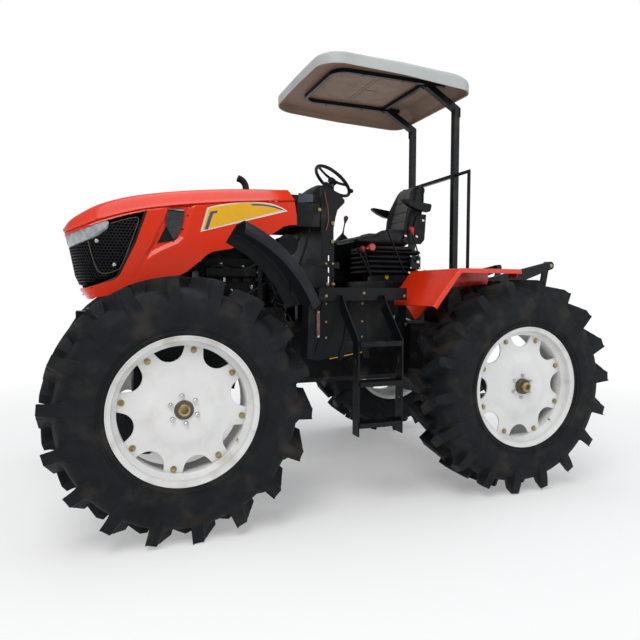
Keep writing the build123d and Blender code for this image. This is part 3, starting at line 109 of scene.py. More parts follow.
def crumpled(name, colour, rough, strength, size):
    """Thin wrapping film, creased all over."""
    material = surface(name, colour, rough=rough, vary=0.35, scale=26, bump=0.1, grain=200, coat=0.6)
    tree = material.node_tree
    at = node(tree, "TexCoord").outputs["Object"]
    bend = node(tree, "TexNoise", {"Vector": at, "Scale": size * 0.6, "Distortion": 2.5})
    creases = node(tree, "TexVoronoi", feature="DISTANCE_TO_EDGE")
    creases.inputs["Scale"].default_value = size
    creases.inputs["Randomness"].default_value = 1.0
    tree.links.new(bend.outputs["Color"], creases.inputs["Vector"])
    height = node(tree, "Math", {0: creases.outputs[0], 1: bend.outputs[0]}, operation="ADD")
    relief = node(tree, "Bump", {"Strength": strength, "Distance": 0.012, "Height": height.outputs[0]})
    shader = next(n for n in tree.nodes if n.type == "BSDF_PRINCIPLED")
    tree.links.new(relief.outputs[0], shader.inputs["Normal"])
    return material


DUST = "6f6658"
rubber = surface("rubber", "1a1c1f", rough=0.62, vary=0.22, scale=7, bump=0.3, grain=150, dust="453f36",
                 dust_amount=0.3, dust_scale=5.5, spec=0.12)
white_paint = surface("white_paint", "dadad9", rough=0.38, vary=0.05, scale=3, bump=0.05, grain=60, coat=0.25,
                      dust="b3a895", dust_amount=0.16, dust_scale=6)
white_barrel = surface("white_barrel", "d6d6d5", rough=0.42, vary=0.06, scale=4, bump=0.06, grain=70,
                       dust="a39a88", dust_amount=0.3, dust_scale=7)
red_paint = surface("red_paint", "d22d0a", rough=0.24, vary=0.06, scale=2.5, bump=0.02, grain=160, coat=0.12,
                    spec=0.3)
black_paint = surface("black_paint", "0e1013", rough=0.34, scale=6, grain=120, dust=DUST, dust_amount=0.10,
                      dust_scale=5, spec=0.2)
tank_paint = surface("tank_paint", "16191e", rough=0.42, vary=0.2, grain=140, dust=DUST, dust_amount=0.12,
                     spec=0.18)
black_plastic = surface("black_plastic", "101113", rough=0.45, vary=0.3, scale=8, bump=0.2, grain=260,
                        spec=0.18)
fender_plastic = surface("fender_plastic", "1b1d21", rough=0.38, vary=0.2, bump=0.12, grain=240, spec=0.22)
cast_iron = surface("cast_iron", "121315", rough=0.6, vary=0.4, scale=12, bump=0.5, grain=110, dust=DUST,
                    dust_amount=0.22, dust_scale=6, spec=0.15)
engine_black = surface("engine_black", "0a0b0d", rough=0.42, vary=0.5, scale=14, bump=0.35, grain=130,
                       dust=DUST, dust_amount=0.12, dust_scale=8, spec=0.15)
yellow_zinc = surface("yellow_zinc", "a59468", rough=0.38, metal=0.7, vary=0.3, scale=40, bump=0.1, grain=300,
                      dust="5c3a1e", dust_amount=0.4, dust_scale=30)
hub_rust = surface("hub_rust", "4b433c", vary=0.4, scale=20, bump=0.3, grain=120, dust="6a4a35",
                   dust_amount=0.3, dust_scale=12)
zinc = surface("zinc", "c9cbc8", rough=0.28, metal=0.95, vary=0.15, scale=30, bump=0.05, grain=300)
steel = surface("steel", "8b8d90", rough=0.34, metal=0.9, vary=0.3, scale=20, bump=0.1, grain=160,
                dust="5c4a38", dust_amount=0.3, dust_scale=14)
hose = surface("hose", "0d0e10", vary=0.3, scale=20, bump=0.2, grain=260, spec=0.2)
roof_grey = surface("roof_grey", "a7abaa", vary=0.05, scale=3, bump=0.10, grain=150, dust="8f9492",
                    dust_amount=0.3)
roof_taupe = surface("roof_taupe", "7d6857", rough=0.6, vary=0.08, scale=4, bump=0.15, grain=190,
                     dust="574b44", dust_amount=0.25, dust_scale=6)
vinyl = surface("seat_vinyl", "18191c", rough=0.42, vary=0.2, scale=9, bump=0.5, grain=420, dust="55534d",
                dust_amount=0.14, spec=0.22)
vinyl_grey = surface("seat_panel", "4d4c49", vary=0.12, scale=9, bump=0.5, grain=520)
bellows_rubber = surface("bellows_rubber", "141517", rough=0.46, vary=0.3, scale=10, bump=0.25, grain=200,
                         spec=0.2)
decal_yellow = surface("decal_yellow", "e2a900", rough=0.3, vary=0.05, bump=0.02, coat=0.4)
decal_white = surface("decal_white", "d9d6cf", rough=0.3, vary=0.05, bump=0.02, coat=0.4)
decal_blue = surface("decal_blue", "3c4470", rough=0.3, vary=0.08, bump=0.02, coat=0.4)
red_knob = surface("red_knob", "b01224", rough=0.3, vary=0.1, scale=20, bump=0.05, coat=0.4)
brown_knob = surface("brown_knob", "4a1f16", vary=0.2, rough=0.25, scale=20, bump=0.05, coat=0.5)
yellow_mark = surface("yellow_mark", "c9b000", rough=0.45, vary=0.15, scale=20, bump=0.05)
reflector = surface("reflector", "7c4a44", rough=0.2, vary=0.3, scale=40, bump=0.1, grain=300, coat=0.8)
lamp_film = crumpled("lamp_film", "c6ccd2", 0.22, 0.9, 26)
vent_film = crumpled("vent_film", "3c3f45", 0.18, 1.0, 60)
chrome = surface("chrome", "dfe1e3", rough=0.08, metal=1.0, vary=0.05, scale=10, bump=0.02)
# Near-black matte: the radiator fins' own black, and painted shade where it fills the grille's back sheet and
# the tail pipe's mouth.
black_and_painted_shade = surface("grille_back", "030304", rough=0.8, vary=0.4, scale=20, bump=0.3, grain=120, spec=0.05)
grille_black = surface("grille_black", "15161a", rough=0.3, vary=0.3, scale=12, bump=0.1, grain=200,
                       spec=0.25)
grille_trim = surface("grille_trim", "55503f", rough=0.4, vary=0.3, scale=30)
cowl_gloss = surface("cowl_gloss", "2c323c", rough=0.25, vary=0.15, scale=8, bump=0.05, coat=0.4)
red_cable = surface("red_cable", "7c3a34", rough=0.45, vary=0.2, scale=30, bump=0.1)


# ------------------------------------------------------------------ mesh tools
def edit(mesh, work):
    """Runs a change on a mesh through bmesh."""
    bm = bmesh.new()
    bm.from_mesh(mesh)
    work(bm)
    bm.to_mesh(mesh)
    bm.free()


def face_out(bm):
    bmesh.ops.recalc_face_normals(bm, faces=bm.faces)


def link(name, data):
    obj = bpy.data.objects.new(name, data)
    bpy.context.scene.collection.objects.link(obj)
    return obj


def place(name, mesh, body, material, smooth=40.0, bevel=0.0, segments=2):
    """Links a mesh as a piece that rides on a body; edges sharper than an angle stay sharp."""

    def round_edges(bm):
        edges = [e for e in bm.edges if len(e.link_faces) == 2 and e.calc_face_angle(0) > math.radians(28)]
        bmesh.ops.bevel(bm, geom=edges, offset=bevel, segments=segments, affect="EDGES", clamp_overlap=True)

    def shade(bm):
        for e in bm.edges:
            e.smooth = len(e.link_faces) == 2 and e.calc_face_angle(0) < math.radians(smooth)
        for f in bm.faces:
            f.smooth = True

    if bevel:
        edit(mesh, round_edges)
    edit(mesh, shade)
    obj = link(name, mesh)
    for m in material if isinstance(material, (list, tuple)) else [material]:
        mesh.materials.append(m)
    if body:
        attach(obj, body)
    return obj


def raw_mesh(name, verts, faces):
    """Mesh from points in millimetres, faces as they are."""
    mesh = bpy.data.meshes.new(name)
    mesh.from_pydata([Vector(v) * MM for v in verts], [], faces)
    return mesh


def mesh_from(name, verts, faces, marks=None):
    """Mesh from points in millimetres, all faces turned outward."""
    mesh = raw_mesh(name, verts, faces)
    edit(mesh, face_out)
    if marks:
        for p, k in zip(mesh.polygons, marks):
            p.material_index = k
    return mesh


def turns(count):
    """Cosine and sine of even steps round a turn."""
    return [(math.cos(TURN * k / count), math.sin(TURN * k / count)) for k in range(count)]


def wheel_ring(radius, across, count):
    """Circle of points about the Y axis."""
    return [(radius * c, across, radius * s) for c, s in turns(count)]


def round_rect(cx, cy, half_x, half_y, corner, z, count=8):
    """Round-cornered rectangle in plan."""
    pts = []
    for sx, sy, start in ((1, 1, 0), (-1, 1, 90), (-1, -1, 180), (1, -1, 270)):
        for k in range(count + 1):
            a = math.radians(start + 90 * k / count)
            pts.append((cx + sx * (half_x - corner) + corner * math.cos(a),
                        cy + sy * (half_y - corner) + corner * math.sin(a), z))
    return pts


def squared(value, power):
    """Sine or cosine bent towards a rounded square."""
    return math.copysign(abs(value) ** power, value)


class Shape:
    """Collects many small forms, in millimetres, into one mesh."""

    def __init__(self):
        self.verts = []
        self.faces = []
        self.marks = []

    def add(self, verts, faces, mark=0):
        base = len(self.verts)
        self.verts += [Vector(v) for v in verts]
        self.faces += [[base + i for i in f] for f in faces]
        self.marks += [mark] * len(faces)

    def loop(self, rings, closed=False, cap=True, mark=0):
        """Skin over rings of points."""
        n = len(rings[0])
        verts = [v for ring in rings for v in ring]
        faces = []
        for i in range(len(rings) if closed else len(rings) - 1):
            j = (i + 1) % len(rings)
            for k in range(n):
                m = (k + 1) % n
                faces.append([i * n + k, i * n + m, j * n + m, j * n + k])
        if cap and not closed:
            faces.append(list(range(n)))
            faces.append([(len(rings) - 1) * n + k for k in reversed(range(n))])
        self.add(verts, faces, mark)

    def tube(self, points, radius, sides=10, mark=0, closed=False):
        """Round tube through points; the radius is one number or one per point."""
        pts = [Vector(p) for p in points]
        radii = radius if isinstance(radius, (list, tuple)) else [radius] * len(pts)
        rings = []
        normal = None
        for i, p in enumerate(pts):
            before = pts[i - 1] if i or closed else p
            after = pts[(i + 1) % len(pts)] if i + 1 < len(pts) or closed else p
            d = (after - before).normalized()
            if normal is None:
                normal = d.orthogonal().normalized()
            normal = (normal - d * normal.dot(d)).normalized()
            side = d.cross(normal)
            rings.append([p + radii[i] * (c * normal + s * side) for c, s in turns(sides)])
        self.loop(rings, closed=closed, mark=mark)

    def curve(self, points, radius, sides=8, steps=6):
        """Round tube along a smooth curve."""
        self.tube(smooth_path(points, steps), radius, sides)

    def box(self, low, high, mark=0):
        x0, y0, z0 = low
        x1, y1, z1 = high
        self.add([(x0, y0, z0), (x1, y0, z0), (x1, y1, z0), (x0, y1, z0),
                  (x0, y0, z1), (x1, y0, z1), (x1, y1, z1), (x0, y1, z1)],
                 [[0, 3, 2, 1], [4, 5, 6, 7], [0, 1, 5, 4], [1, 2, 6, 5], [2, 3, 7, 6], [3, 0, 4, 7]], mark)

    def side_box(self, side, y, half, x0, z0, x1, z1):
        """Box about a distance y out from the middle, on one side."""
        self.box((x0, side * y - half, z0), (x1, side * y + half, z1))

    def lathe(self, centre, axis, profile, sides=32, mark=0, closed=False):
        """Turned form: profile rows are distance along the axis and radius."""
        axis = Vector(axis).normalized()
        normal = axis.orthogonal().normalized()
        side = axis.cross(normal)
        rings = []
        for along, radius in profile:
            rings.append([Vector(centre) + axis * along + radius * (c * normal + s * side)
                          for c, s in turns(sides)])
        self.loop(rings, closed=closed, cap=not closed, mark=mark)

    def prism(self, outline, low, high, mark=0):
        """Outline of (x, z) points carried from one y to another."""
        self.loop([[(x, low, z) for x, z in outline], [(x, high, z) for x, z in outline]], mark=mark)

    def bolt(self, centre, axis, across=19, head=8, mark=0):
        """Hexagon head on a washer."""
        rim = across * 0.85
        flat = across * 0.577
        self.lathe(centre, axis, ((0, rim), (2.2, rim), (2.6, across * 0.78)), 16, mark)
        self.lathe(centre, axis, ((1.5, flat), (head, flat), (head + 1.5, across * 0.45)), 6, mark)

    def side_bolts(self, side, y, places, across, head):
        """Bolts in the (x, z) places of a wall that faces sideways."""
        for x, z in places:
            self.bolt((x, side * y, z), (0, side, 0), across, head)

    def build(self, name, body, material, slot=None, smooth=40.0, bevel=0.0, segments=2):
        mesh = mesh_from(name, self.verts, self.faces, self.marks)
        return place(name, mesh, body, material, smooth, bevel, segments)


def smooth_path(points, steps=6):
    """Catmull-Rom curve through points."""
    pts = [Vector(p) for p in points]
    out = []
    for i in range(len(pts) - 1):
        a, b, c, d = pts[max(i - 1, 0)], pts[i], pts[i + 1], pts[min(i + 2, len(pts) - 1)]
        for k in range(steps):
            t = k / steps
            out.append(0.5 * (2 * b + (c - a) * t + (2 * a - 5 * b + 4 * c - d) * t * t
                              + (3 * b - a - 3 * c + d) * t**3))
    out.append(pts[-1])
    return out


def bend_path(points, radius, steps=5):
    """Straight runs joined by round bends."""
    pts = [Vector(p) for p in points]
    out = [pts[0]]
    for i in range(1, len(pts) - 1):
        back = pts[i - 1] - pts[i]
        on = pts[i + 1] - pts[i]
        r = min(radius, back.length * 0.49, on.length * 0.49)
        start = pts[i] + back.normalized() * r
        end = pts[i] + on.normalized() * r
        for k in range(steps + 1):
            t = k / steps
            out.append((1 - t) ** 2 * start + 2 * t * (1 - t) * pts[i] + t * t * end)
    out.append(pts[-1])
    return out


def lerp_table(rows, x):
    """Value of a table at x, joined by straight runs."""
    if x <= rows[0][0]:
        return rows[0][1]
    for a, b in zip(rows, rows[1:]):
        if x <= b[0]:
            t = (x - a[0]) / (b[0] - a[0])
            return a[1] + (b[1] - a[1]) * t
    return rows[-1][1]


def soft_table(rows, x, column=1):
    """Value of a table at x, joined by a smooth curve."""
    if x <= rows[0][0]:
        return rows[0][column]
    if x >= rows[-1][0]:
        return rows[-1][column]
    i = next(i for i in range(len(rows) - 1) if rows[i][0] <= x <= rows[i + 1][0])
    a, b = rows[i], rows[i + 1]
    w = b[0] - a[0]
    t = (x - a[0]) / w
    before = rows[i - 1] if i else a
    after = rows[i + 2] if i + 2 < len(rows) else b
    m0 = (b[column] - before[column]) / (b[0] - before[0])
    m1 = (after[column] - a[column]) / (after[0] - a[0])
    h00, h10 = 2 * t**3 - 3 * t**2 + 1, t**3 - 2 * t**2 + t
    h01, h11 = -2 * t**3 + 3 * t**2, t**3 - t**2
    return h00 * a[column] + h10 * w * m0 + h01 * b[column] + h11 * w * m1


def inside(poly, x, z):
    """Whether a point lies in a polygon."""
    hit = False
    for (x0, z0), (x1, z1) in zip(poly, poly[1:] + poly[:1]):
        if (z0 > z) != (z1 > z) and x < (x1 - x0) * (z - z0) / (z1 - z0) + x0:
            hit = not hit
    return hit


def to_edge(poly, x, z, closed=True):
    """Nearest point of a polygon's edge and its distance."""
    best = None
    ends = poly[1:] + poly[:1] if closed else poly[1:]
    for (x0, z0), (x1, z1) in zip(poly, ends):
        dx, dz = x1 - x0, z1 - z0
        t = max(0, min(1, ((x - x0) * dx + (z - z0) * dz) / (dx * dx + dz * dz)))
        px, pz = x0 + t * dx, z0 + t * dz
        d = math.hypot(px - x, pz - z)
        if best is None or d < best[2]:
            best = (px, pz, d)
    return best


def open_points(faces):
    """Points on the open edges of a sheet."""
    used = {}
    for f in faces:
        for a, b in zip(f, f[1:] + f[:1]):
            key = (min(a, b), max(a, b))
            used[key] = used.get(key, 0) + 1
    return {v for key, n in used.items() if n == 1 for v in key}


def offset_outline(outline, amount):
    """Outline moved outward by an amount."""
    n = len(outline)
    area = sum(a[0] * b[1] - b[0] * a[1] for a, b in zip(outline, outline[1:] + outline[:1]))
    sign = 1 if area > 0 else -1
    out = []
    for i in range(n):
        a, b, c = outline[i - 1], outline[i], outline[(i + 1) % n]
        d0 = Vector((b[0] - a[0], b[1] - a[1])).normalized()
        d1 = Vector((c[0] - b[0], c[1] - b[1])).normalized()
        n0 = Vector((d0.y, -d0.x)) * sign
        n1 = Vector((d1.y, -d1.x)) * sign
        m = (n0 + n1).normalized()
        k = amount / max(0.45, m.dot(n0))
        out.append((b[0] + m.x * k, b[1] + m.y * k))
    return out


# ------------------------------------------------------------------ tyres
TYRE_R = 813.0
AXLE_Z = 813
FRONT_X = 1415
REAR_X = -1135
WHEEL_Y = 1026
FRONT_HUB = 153
REAR_HUB = 193
# wheel, place along the tractor, side, turn of its lugs in degrees, reach of its hub
WHEELS = (("front_left", FRONT_X, 1, 1.0, FRONT_HUB), ("front_right", FRONT_X, -1, 11.0, FRONT_HUB),
          ("rear_left", REAR_X, 1, 13.0, REAR_HUB), ("rear_right", REAR_X, -1, 3.0, REAR_HUB))
LUGS = 18
CARCASS = ((0, 742), (60, 740), (110, 734), (150, 722), (180, 704), (200, 676), (211, 640), (215, 600),
           (214, 560), (209, 520), (200, 492), (194, 476), (188, 464))
CROWN = [row for row in CARCASS if row[1] >= 598]
# growth of a lug's outline; then millimetres above the carcass, or the share of the way to the tread
LUG_FOOT = ((15, -2.0), (4, 8.0), (0, 26.0))
LUG_WALL = ((-5, 0.55), (-9, 0.94), (-11.5, 0.985), (-16, 1.0))


def carcass_radius(u):
    return soft_table(CROWN, min(abs(u), 214.9))


def flat_curve(points, steps):
    return [(p.x, p.y) for p in smooth_path([(u, t, 0) for u, t in points], steps)]


def lug_ring(outline, grow, row, phase, height):
    """One level of a lug: its outline wrapped round the tyre."""
    ring = []
    for u, t in offset_outline(outline, grow):
        u = max(-60, min(u, 216 if grow < 10 else 214))
        r = height(carcass_radius(u))
        lean = max(0.0, (r - 735) / (TYRE_R - 735)) * 10 if u > 150 else 0
        a = phase + t / 790
        ring.append((r * math.cos(a), (u - lean) * row, r * math.sin(a)))
    return ring


def tyre_mesh():
    """Tyre about the Y axis: a smooth carcass and two rows of deep bars, half a pitch apart."""
    s = Shape()
    profile = flat_curve([(-u, r) for u, r in reversed(CARCASS)] + list(CARCASS[1:]), 3)
    profile += [(186, 452), (150, 436), (-150, 436), (-186, 452)]
    s.loop([[(r * cos, u, r * sin) for u, r in profile] for cos, sin in turns(144)], closed=True)
    lead = flat_curve([(15, -96), (66, -62), (117, -30), (165, -6), (212, 14)], 5)
    trail = flat_curve([(212, 100), (165, 84), (120, 66), (73, 46), (20, 10), (-33, -27)], 5)
    outline = lead + trail
    n, m = len(outline), len(lead)
    lug_top = [[i, i + 1, n - 2 - i, n - 1 - i] for i in range(m - 1)] + [list(range(m - 1, n - m + 1))]
    for row, step in ((1, 0.0), (-1, 0.5)):
        for index in range(LUGS):
            phase = math.radians(360 / LUGS * (index + step))
            rings = [lug_ring(outline, grow, row, phase, lambda base, up=up: base + up)
                     for grow, up in LUG_FOOT]
            rings += [lug_ring(outline, grow, row, phase, lambda base, up=up: base + (TYRE_R - base) * up)
                      for grow, up in LUG_WALL]
            s.loop(rings, cap=False)
            s.add(rings[-1], lug_top)
    for side in BOTH:
        for radius, offset, thick in ((486, 200, 5.0), (506, 206.5, 2.2), (618, 213, 2.0)):
            s.tube(wheel_ring(radius, side * offset, 96), thick, 6, closed=True)
    return mesh_from("tyre", s.verts, s.faces)


def weld(bm):
    bmesh.ops.remove_doubles(bm, verts=bm.verts, dist=0.00005)
    face_out(bm)


tyre = tyre_mesh()
edit(tyre, weld)

# ------------------------------------------------------------------ rims
DISC_FACE = 129
DISC_BORE = 21
DISC_EDGE = 391.0
DISC_ROWS = ((0, DISC_FACE), (120, DISC_FACE), (190, 127.5), (216, 123), (236, 114), (256, 109.5), (300, 109),
             (DISC_EDGE, 109))
BARREL = ((-193, 457), (-187, 457.5), (-183, 452), (-182, 440), (-176, 433), (20, 432), (43, 400), (119, 400),
          (143, 432), (176, 433), (182, 440), (183, 452), (187, 457.5), (193, 457), (193, 451), (188, 447),
          (185, 438), (182, 426), (172, 422.5), (150, 422), (145, 418), (124, 393), (118, 391), (38, 391),
          (15, 423), (-176, 423), (-187, 440), (-193, 451))
LOBES = 8
HUB_NUTS = 6


def disc_limit(angle):
    """Outer radius of the disc at an angle, with round scallops between its lobes."""
    pitch = TURN / LOBES
    d = (angle % pitch) - pitch / 2
    centre, radius = 389.0, 88.0
    s = centre * math.sin(d)
    if abs(s) < radius:
        return min(DISC_EDGE, centre * math.cos(d) - math.sqrt(radius**2 - s**2))
    return DISC_EDGE


def disc_column(a):
    """Points of the disc at an angle, out along its face and back along its rear."""
    limit = disc_limit(a)
    face, rear = [], []
    for share in (0.0, 0.12, 0.24, 0.36, 0.46, 0.54, 0.62, 0.72, 0.84, 0.94, 0.985, 1.0):
        r = DISC_BORE + (limit - DISC_BORE) * share
        y = soft_table(DISC_ROWS, r)
        drop = 3.0 if share == 1.0 else 0.0
        face.append((r * math.cos(a), y - drop, r * math.sin(a)))
        rear.append((r * math.cos(a), y - 12, r * math.sin(a)))
    return face + list(reversed(rear))


def rim_shapes(hub_reach):
    """Barrel, disc, fasteners, hub, nuts and valve of a rim about the Y axis, facing +Y."""
    out = (0, 1, 0)
    barrel, disc, fasteners, hub, nuts, valve = (Shape() for _ in range(6))
    barrel.loop([[(r * cos, u, r * sin) for u, r in BARREL] for cos, sin in turns(128)], closed=True)
    for u, r in ((160, 421), (132, 405)):
        barrel.tube(wheel_ring(r, u, 96), 2.6, 6, closed=True)
    disc.loop([disc_column(TURN * k / 256) for k in range(256)], closed=True)
    for place_at in wheel_ring(368, 109, LOBES):
        fasteners.bolt(place_at, out, 24, 12)
    reach = hub_reach - DISC_FACE
    fasteners.lathe((0, DISC_FACE, 0), out, ((0, 38), (reach - 6, 38), (reach - 2, 34), (reach, 22),
                                             (reach - 8, 20), (reach - 20, 19)), 24)
    top = reach * 0.55
    hub.lathe((0, DISC_FACE, 0), out, ((0, 60), (top - 5, 57), (top, 52), (top, 40), (0, 40)), 40)
    hub.lathe((0, 20, 0), out, ((0, 62), (0, 125), (97, 125), (97, 62)), 48)
    for k in range(HUB_NUTS):
        a = math.radians(360 / HUB_NUTS * k + 42)
        at = (86 * math.cos(a), DISC_FACE, 86 * math.sin(a))
        nuts.lathe(at, out, ((0, 17), (3, 17), (4, 14)), 16)
        nuts.lathe(at, out, ((2, 13), (15, 13), (17, 10)), 6)
        nuts.lathe(at, out, ((10, 7), (23, 7), (24, 5)), 12)
    valve.tube([(-150, 118, 368), (-152, 128, 360), (-154, 150, 352)], (7, 6, 4.5), 8)
    return barrel, disc, fasteners, hub, nuts, valve


RIM_PIECES = (("barrel", white_barrel, 30), ("disc", white_paint, 35), ("fasteners", yellow_zinc, 30),
              ("hub", hub_rust, 30), ("nuts", zinc, 30), ("valve", yellow_zinc, 40))
rims = {reach: rim_shapes(reach) for reach in (FRONT_HUB, REAR_HUB)}
for name, x, side, phase, reach in WHEELS:
    body = "wheel_" + name
    move = Matrix.Translation(Vector((x, side * WHEEL_Y, AXLE_Z)) * MM)
    obj = place("tyre_" + name + "_rubber", tyre.copy(), None, rubber, smooth=50)
    obj.data.transform(move @ Matrix.Rotation(math.radians(-phase), 4, "Y"))
    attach(obj, body)
    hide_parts("tyre_" + name)
    spin = Matrix.Rotation(math.radians(-90 - (10 if "front" in name else 22.5)), 4, "Y")
    if side < 0:
        spin = spin @ Matrix.Rotation(math.radians(180), 4, "Z")
    for shape, (label, finish, sharp) in zip(rims[reach], RIM_PIECES):
        mesh = mesh_from(label, shape.verts, shape.faces)
        mesh.transform(move @ spin)
        obj = place("rim_" + name + "_" + label, mesh, body, finish, smooth=sharp)
        if label == "barrel":
            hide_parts("rim_" + name)

# ------------------------------------------------------------------ hood
HOOD_REAR = 430
HOOD_CORNER = 1900
HOOD_REACH = 218
HOOD_HALF = 380.0
SIDE_SHARE = 0.78
FRONT_POWER = 0.86
SIDE_POWER = 0.92
WALL = 8.0
# the hood's rear edge leans forward above the hinge's height and back below it
LEAN = 0.143
LEAN_Z = 2204
# place along the hood, height of the crease, half width and height of the shoulder, height of the crown
HOOD_ROWS = ((400, 2243, 250, 2336, 2350), (1000, 2195, 250, 2302, 2318), (1550, 2120, 250, 2230, 2248),
             (1850, 2035, 248, 2147, 2165), (2030, 1965, 240, 2046, 2062), (2120, 1912, 225, 1962, 1976))
# place along the nose and height of its crease; height and place of the nose's middle
CORNER_CREASE = ((1900, 2014), (1990, 1981), (2060, 1960), (2118, 1950))
NOSE = ((1465, 1958), (1532, 2012), (1640, 2060), (1950, 2118))
# place along the hood and height of its lower edge; then outlines and folds on its side, as (x, z) points
HOOD_LOW = ((430, 2052), (470, 2052), (530, 2040), (575, 2008), (631, 1967), (790, 1905), (958, 1850),
            (1080, 1828), (1130, 1800), (1190, 1745), (1275, 1674), (1420, 1600), (1690, 1525), (1960, 1475),
            (2120, 1468))
GRILLE = [(1550, 2108), (1593, 1989), (1635, 1870), (1693, 1751), (1744, 1645), (1782, 1612), (1971, 1553),
          (2200, 1540), (2200, 1936), (2085, 1926), (1960, 1972), (1850, 2018), (1700, 2068)]
GRILLE_BACK = [(1530, 2125), (1725, 1615), (1960, 1535), (2200, 1525), (2200, 1950), (1960, 1990)]
FOLD_ONE = [(1411, 2150), (1445, 2062), (1488, 1967), (1527, 1873), (1579, 1786), (1618, 1700), (1663, 1627),
            (1689, 1560)]
FOLD_TWO = [(1208, 2181), (1250, 2044), (1291, 1921), (1331, 1880), (1424, 1837), (1502, 1795), (1548, 1754),
            (1580, 1700), (1619, 1640), (1660, 1580)]
RECESS = FOLD_ONE + list(reversed(FOLD_TWO))


def hood_edge(t):
    """Plan of the crease from rear (0) to nose (1): forward, sideways, and how far it faces front."""
    if t < SIDE_SHARE:
        return HOOD_REAR + (HOOD_CORNER - HOOD_REAR) * t / SIDE_SHARE, HOOD_HALF, 0.0
    a = (t - SIDE_SHARE) / (1 - SIDE_SHARE) * math.pi / 2
    x = HOOD_CORNER + HOOD_REACH * math.sin(a) ** FRONT_POWER
    return x, HOOD_HALF * math.cos(a) ** SIDE_POWER, math.sin(a)


def corner_angle(x):
    """Turn round the nose's corner at a distance forward."""
    return math.asin(min(1.0, ((x - HOOD_CORNER) / HOOD_REACH) ** (1 / FRONT_POWER)))


def hood_share(x):
    """Share of the crease's plan at a distance forward; the reverse of hood_edge."""
    if x < HOOD_CORNER:
        return (x - HOOD_REAR) / (HOOD_CORNER - HOOD_REAR) * SIDE_SHARE
    return SIDE_SHARE + (1 - SIDE_SHARE) * corner_angle(x) / (math.pi / 2)


def plan_half(x):
    """Half width of the hood at the crease."""
    return HOOD_HALF if x <= HOOD_CORNER else HOOD_HALF * math.cos(corner_angle(x)) ** SIDE_POWER


def crease_at(x):
    """Height of the crease between the hood's top and side."""
    return soft_table(HOOD_ROWS if x < HOOD_CORNER else CORNER_CREASE, x)


def hood_side(t, z, inset=0.0):
    """Point of the hood's side or nose at a height."""
    x, y, k = hood_edge(t)
    top = crease_at(x)
    x -= (NOSE[-1][1] - lerp_table(NOSE, z)) * k
    belly = 5.0 * math.sin(math.pi * max(0.0, min(1.0, (z - 1700) / 600)))
    y += min(0.0, (belly - 5.0) * (1 - k))
    if k < 0.5 and inside(RECESS, x, z):
        near_one = min(1.0, to_edge(FOLD_ONE, x, z, False)[2] / 26.0)
        near_two = min(1.0, to_edge(FOLD_TWO, x, z, False)[2] / 34.0)
        y -= 17.0 * near_one * near_two * max(0.0, min(1.0, (z - 1560) / 260))
    lip = max(0.0, 1 - (top - z) / 26.0)
    y -= 7.0 * lip * lip * (1 - k)
    x -= 6.0 * lip * lip * k
    x += max(0.0, 1 - t / 0.10) * (z - LEAN_Z) * LEAN
    return Vector((x - inset * k, y * (HOOD_HALF - inset) / HOOD_HALF, z))


def grid(columns, rows):
    """Quads over points that run column by column; a column has one point more than it has quads."""
    n = rows + 1
    return [[a, a + n, a + n + 1, a + 1] for a in (i * n + j for i in range(columns) for j in range(rows))]


def both_halves(name, pts, faces):
    """Sheet and its mirror image."""
    s = Shape()
    s.add(pts, faces)
    s.add([Vector((p.x, -p.y, p.z)) for p in pts], [list(reversed(f)) for f in faces])
    return raw_mesh(name, s.verts, s.faces)


def drop_loose(bm):
    bmesh.ops.delete(bm, geom=[v for v in bm.verts if not v.link_faces], context="VERTS")


def hood_sheet(name, material, start, v_steps, u_steps, keep, inset=0.0, thick=WALL, cut=None):
    """Part of the hood's sides where keep(x, z, t) holds, with its edge snapped to an outline."""
    spots, shares, faces = [], [], []
    for i in range(u_steps + 1):
        t = start + (1.0 - start) * i / u_steps
        x = hood_edge(t)[0]
        low, high = lerp_table(HOOD_LOW, x), crease_at(x)
        for j in range(v_steps + 1):
            spots.append(hood_side(t, low + (high - low) * j / v_steps, inset))
            shares.append(t)
    for quad in grid(u_steps, v_steps):
        c = sum((spots[q] for q in quad), Vector()) / 4
        if keep(c.x, c.z, (shares[quad[0]] + shares[quad[1]]) / 2):
            faces.append(quad)
    if cut:
        for v in open_points(faces):
            px, pz, d = to_edge(cut, spots[v].x, spots[v].z)
            if shares[v] <= 0.93 and 0.01 < d < 9.0:
                spots[v] = Vector((px, hood_side(shares[v], pz, inset).y, pz))

    def thicken(bm):
        bmesh.ops.remove_doubles(bm, verts=bm.verts, dist=0.0004)
        drop_loose(bm)
        bm.normal_update()
        copy = bmesh.ops.duplicate(bm, geom=bm.verts[:] + bm.edges[:] + bm.faces[:])
        pairs = copy["vert_map"]
        copied = set(copy["geom"])
        normals = {v: v.normal.copy() for v in bm.verts if v in pairs and v not in copied}
        for v, n in normals.items():
            out = Vector((1 if v.co.x > 2.0 else 0, 1 if v.co.y >= 0 else -1, 0))
            pairs[v].co = v.co - (n if n.dot(out) > 0 else -n) * thick * MM
        bmesh.ops.reverse_faces(bm, faces=[g for g in copy["geom"] if isinstance(g, bmesh.types.BMFace)])
        for e in [e for e in bm.edges if len(e.link_faces) == 1 and all(v in normals for v in e.verts)]:
            a, b = e.verts
            bm.faces.new((a, b, pairs[b], pairs[a]))
        face_out(bm)

    mesh = both_halves(name, spots, faces)
    edit(mesh, thicken)
    return place(name, mesh, "hood", material, 32)


def shell_keep(x, z, t):
    return not inside(GRILLE, x, z) and not (t > 0.9 and 1545 < z < 1934)


def back_keep(x, z, t):
    return inside(GRILLE_BACK, x, z) or (t > 0.9 and 1530 < z < 1950)


hood_body = hood_sheet("hood_sides", red_paint, 0.0, 84, 230, shell_keep, cut=GRILLE)
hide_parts("hood_shell")


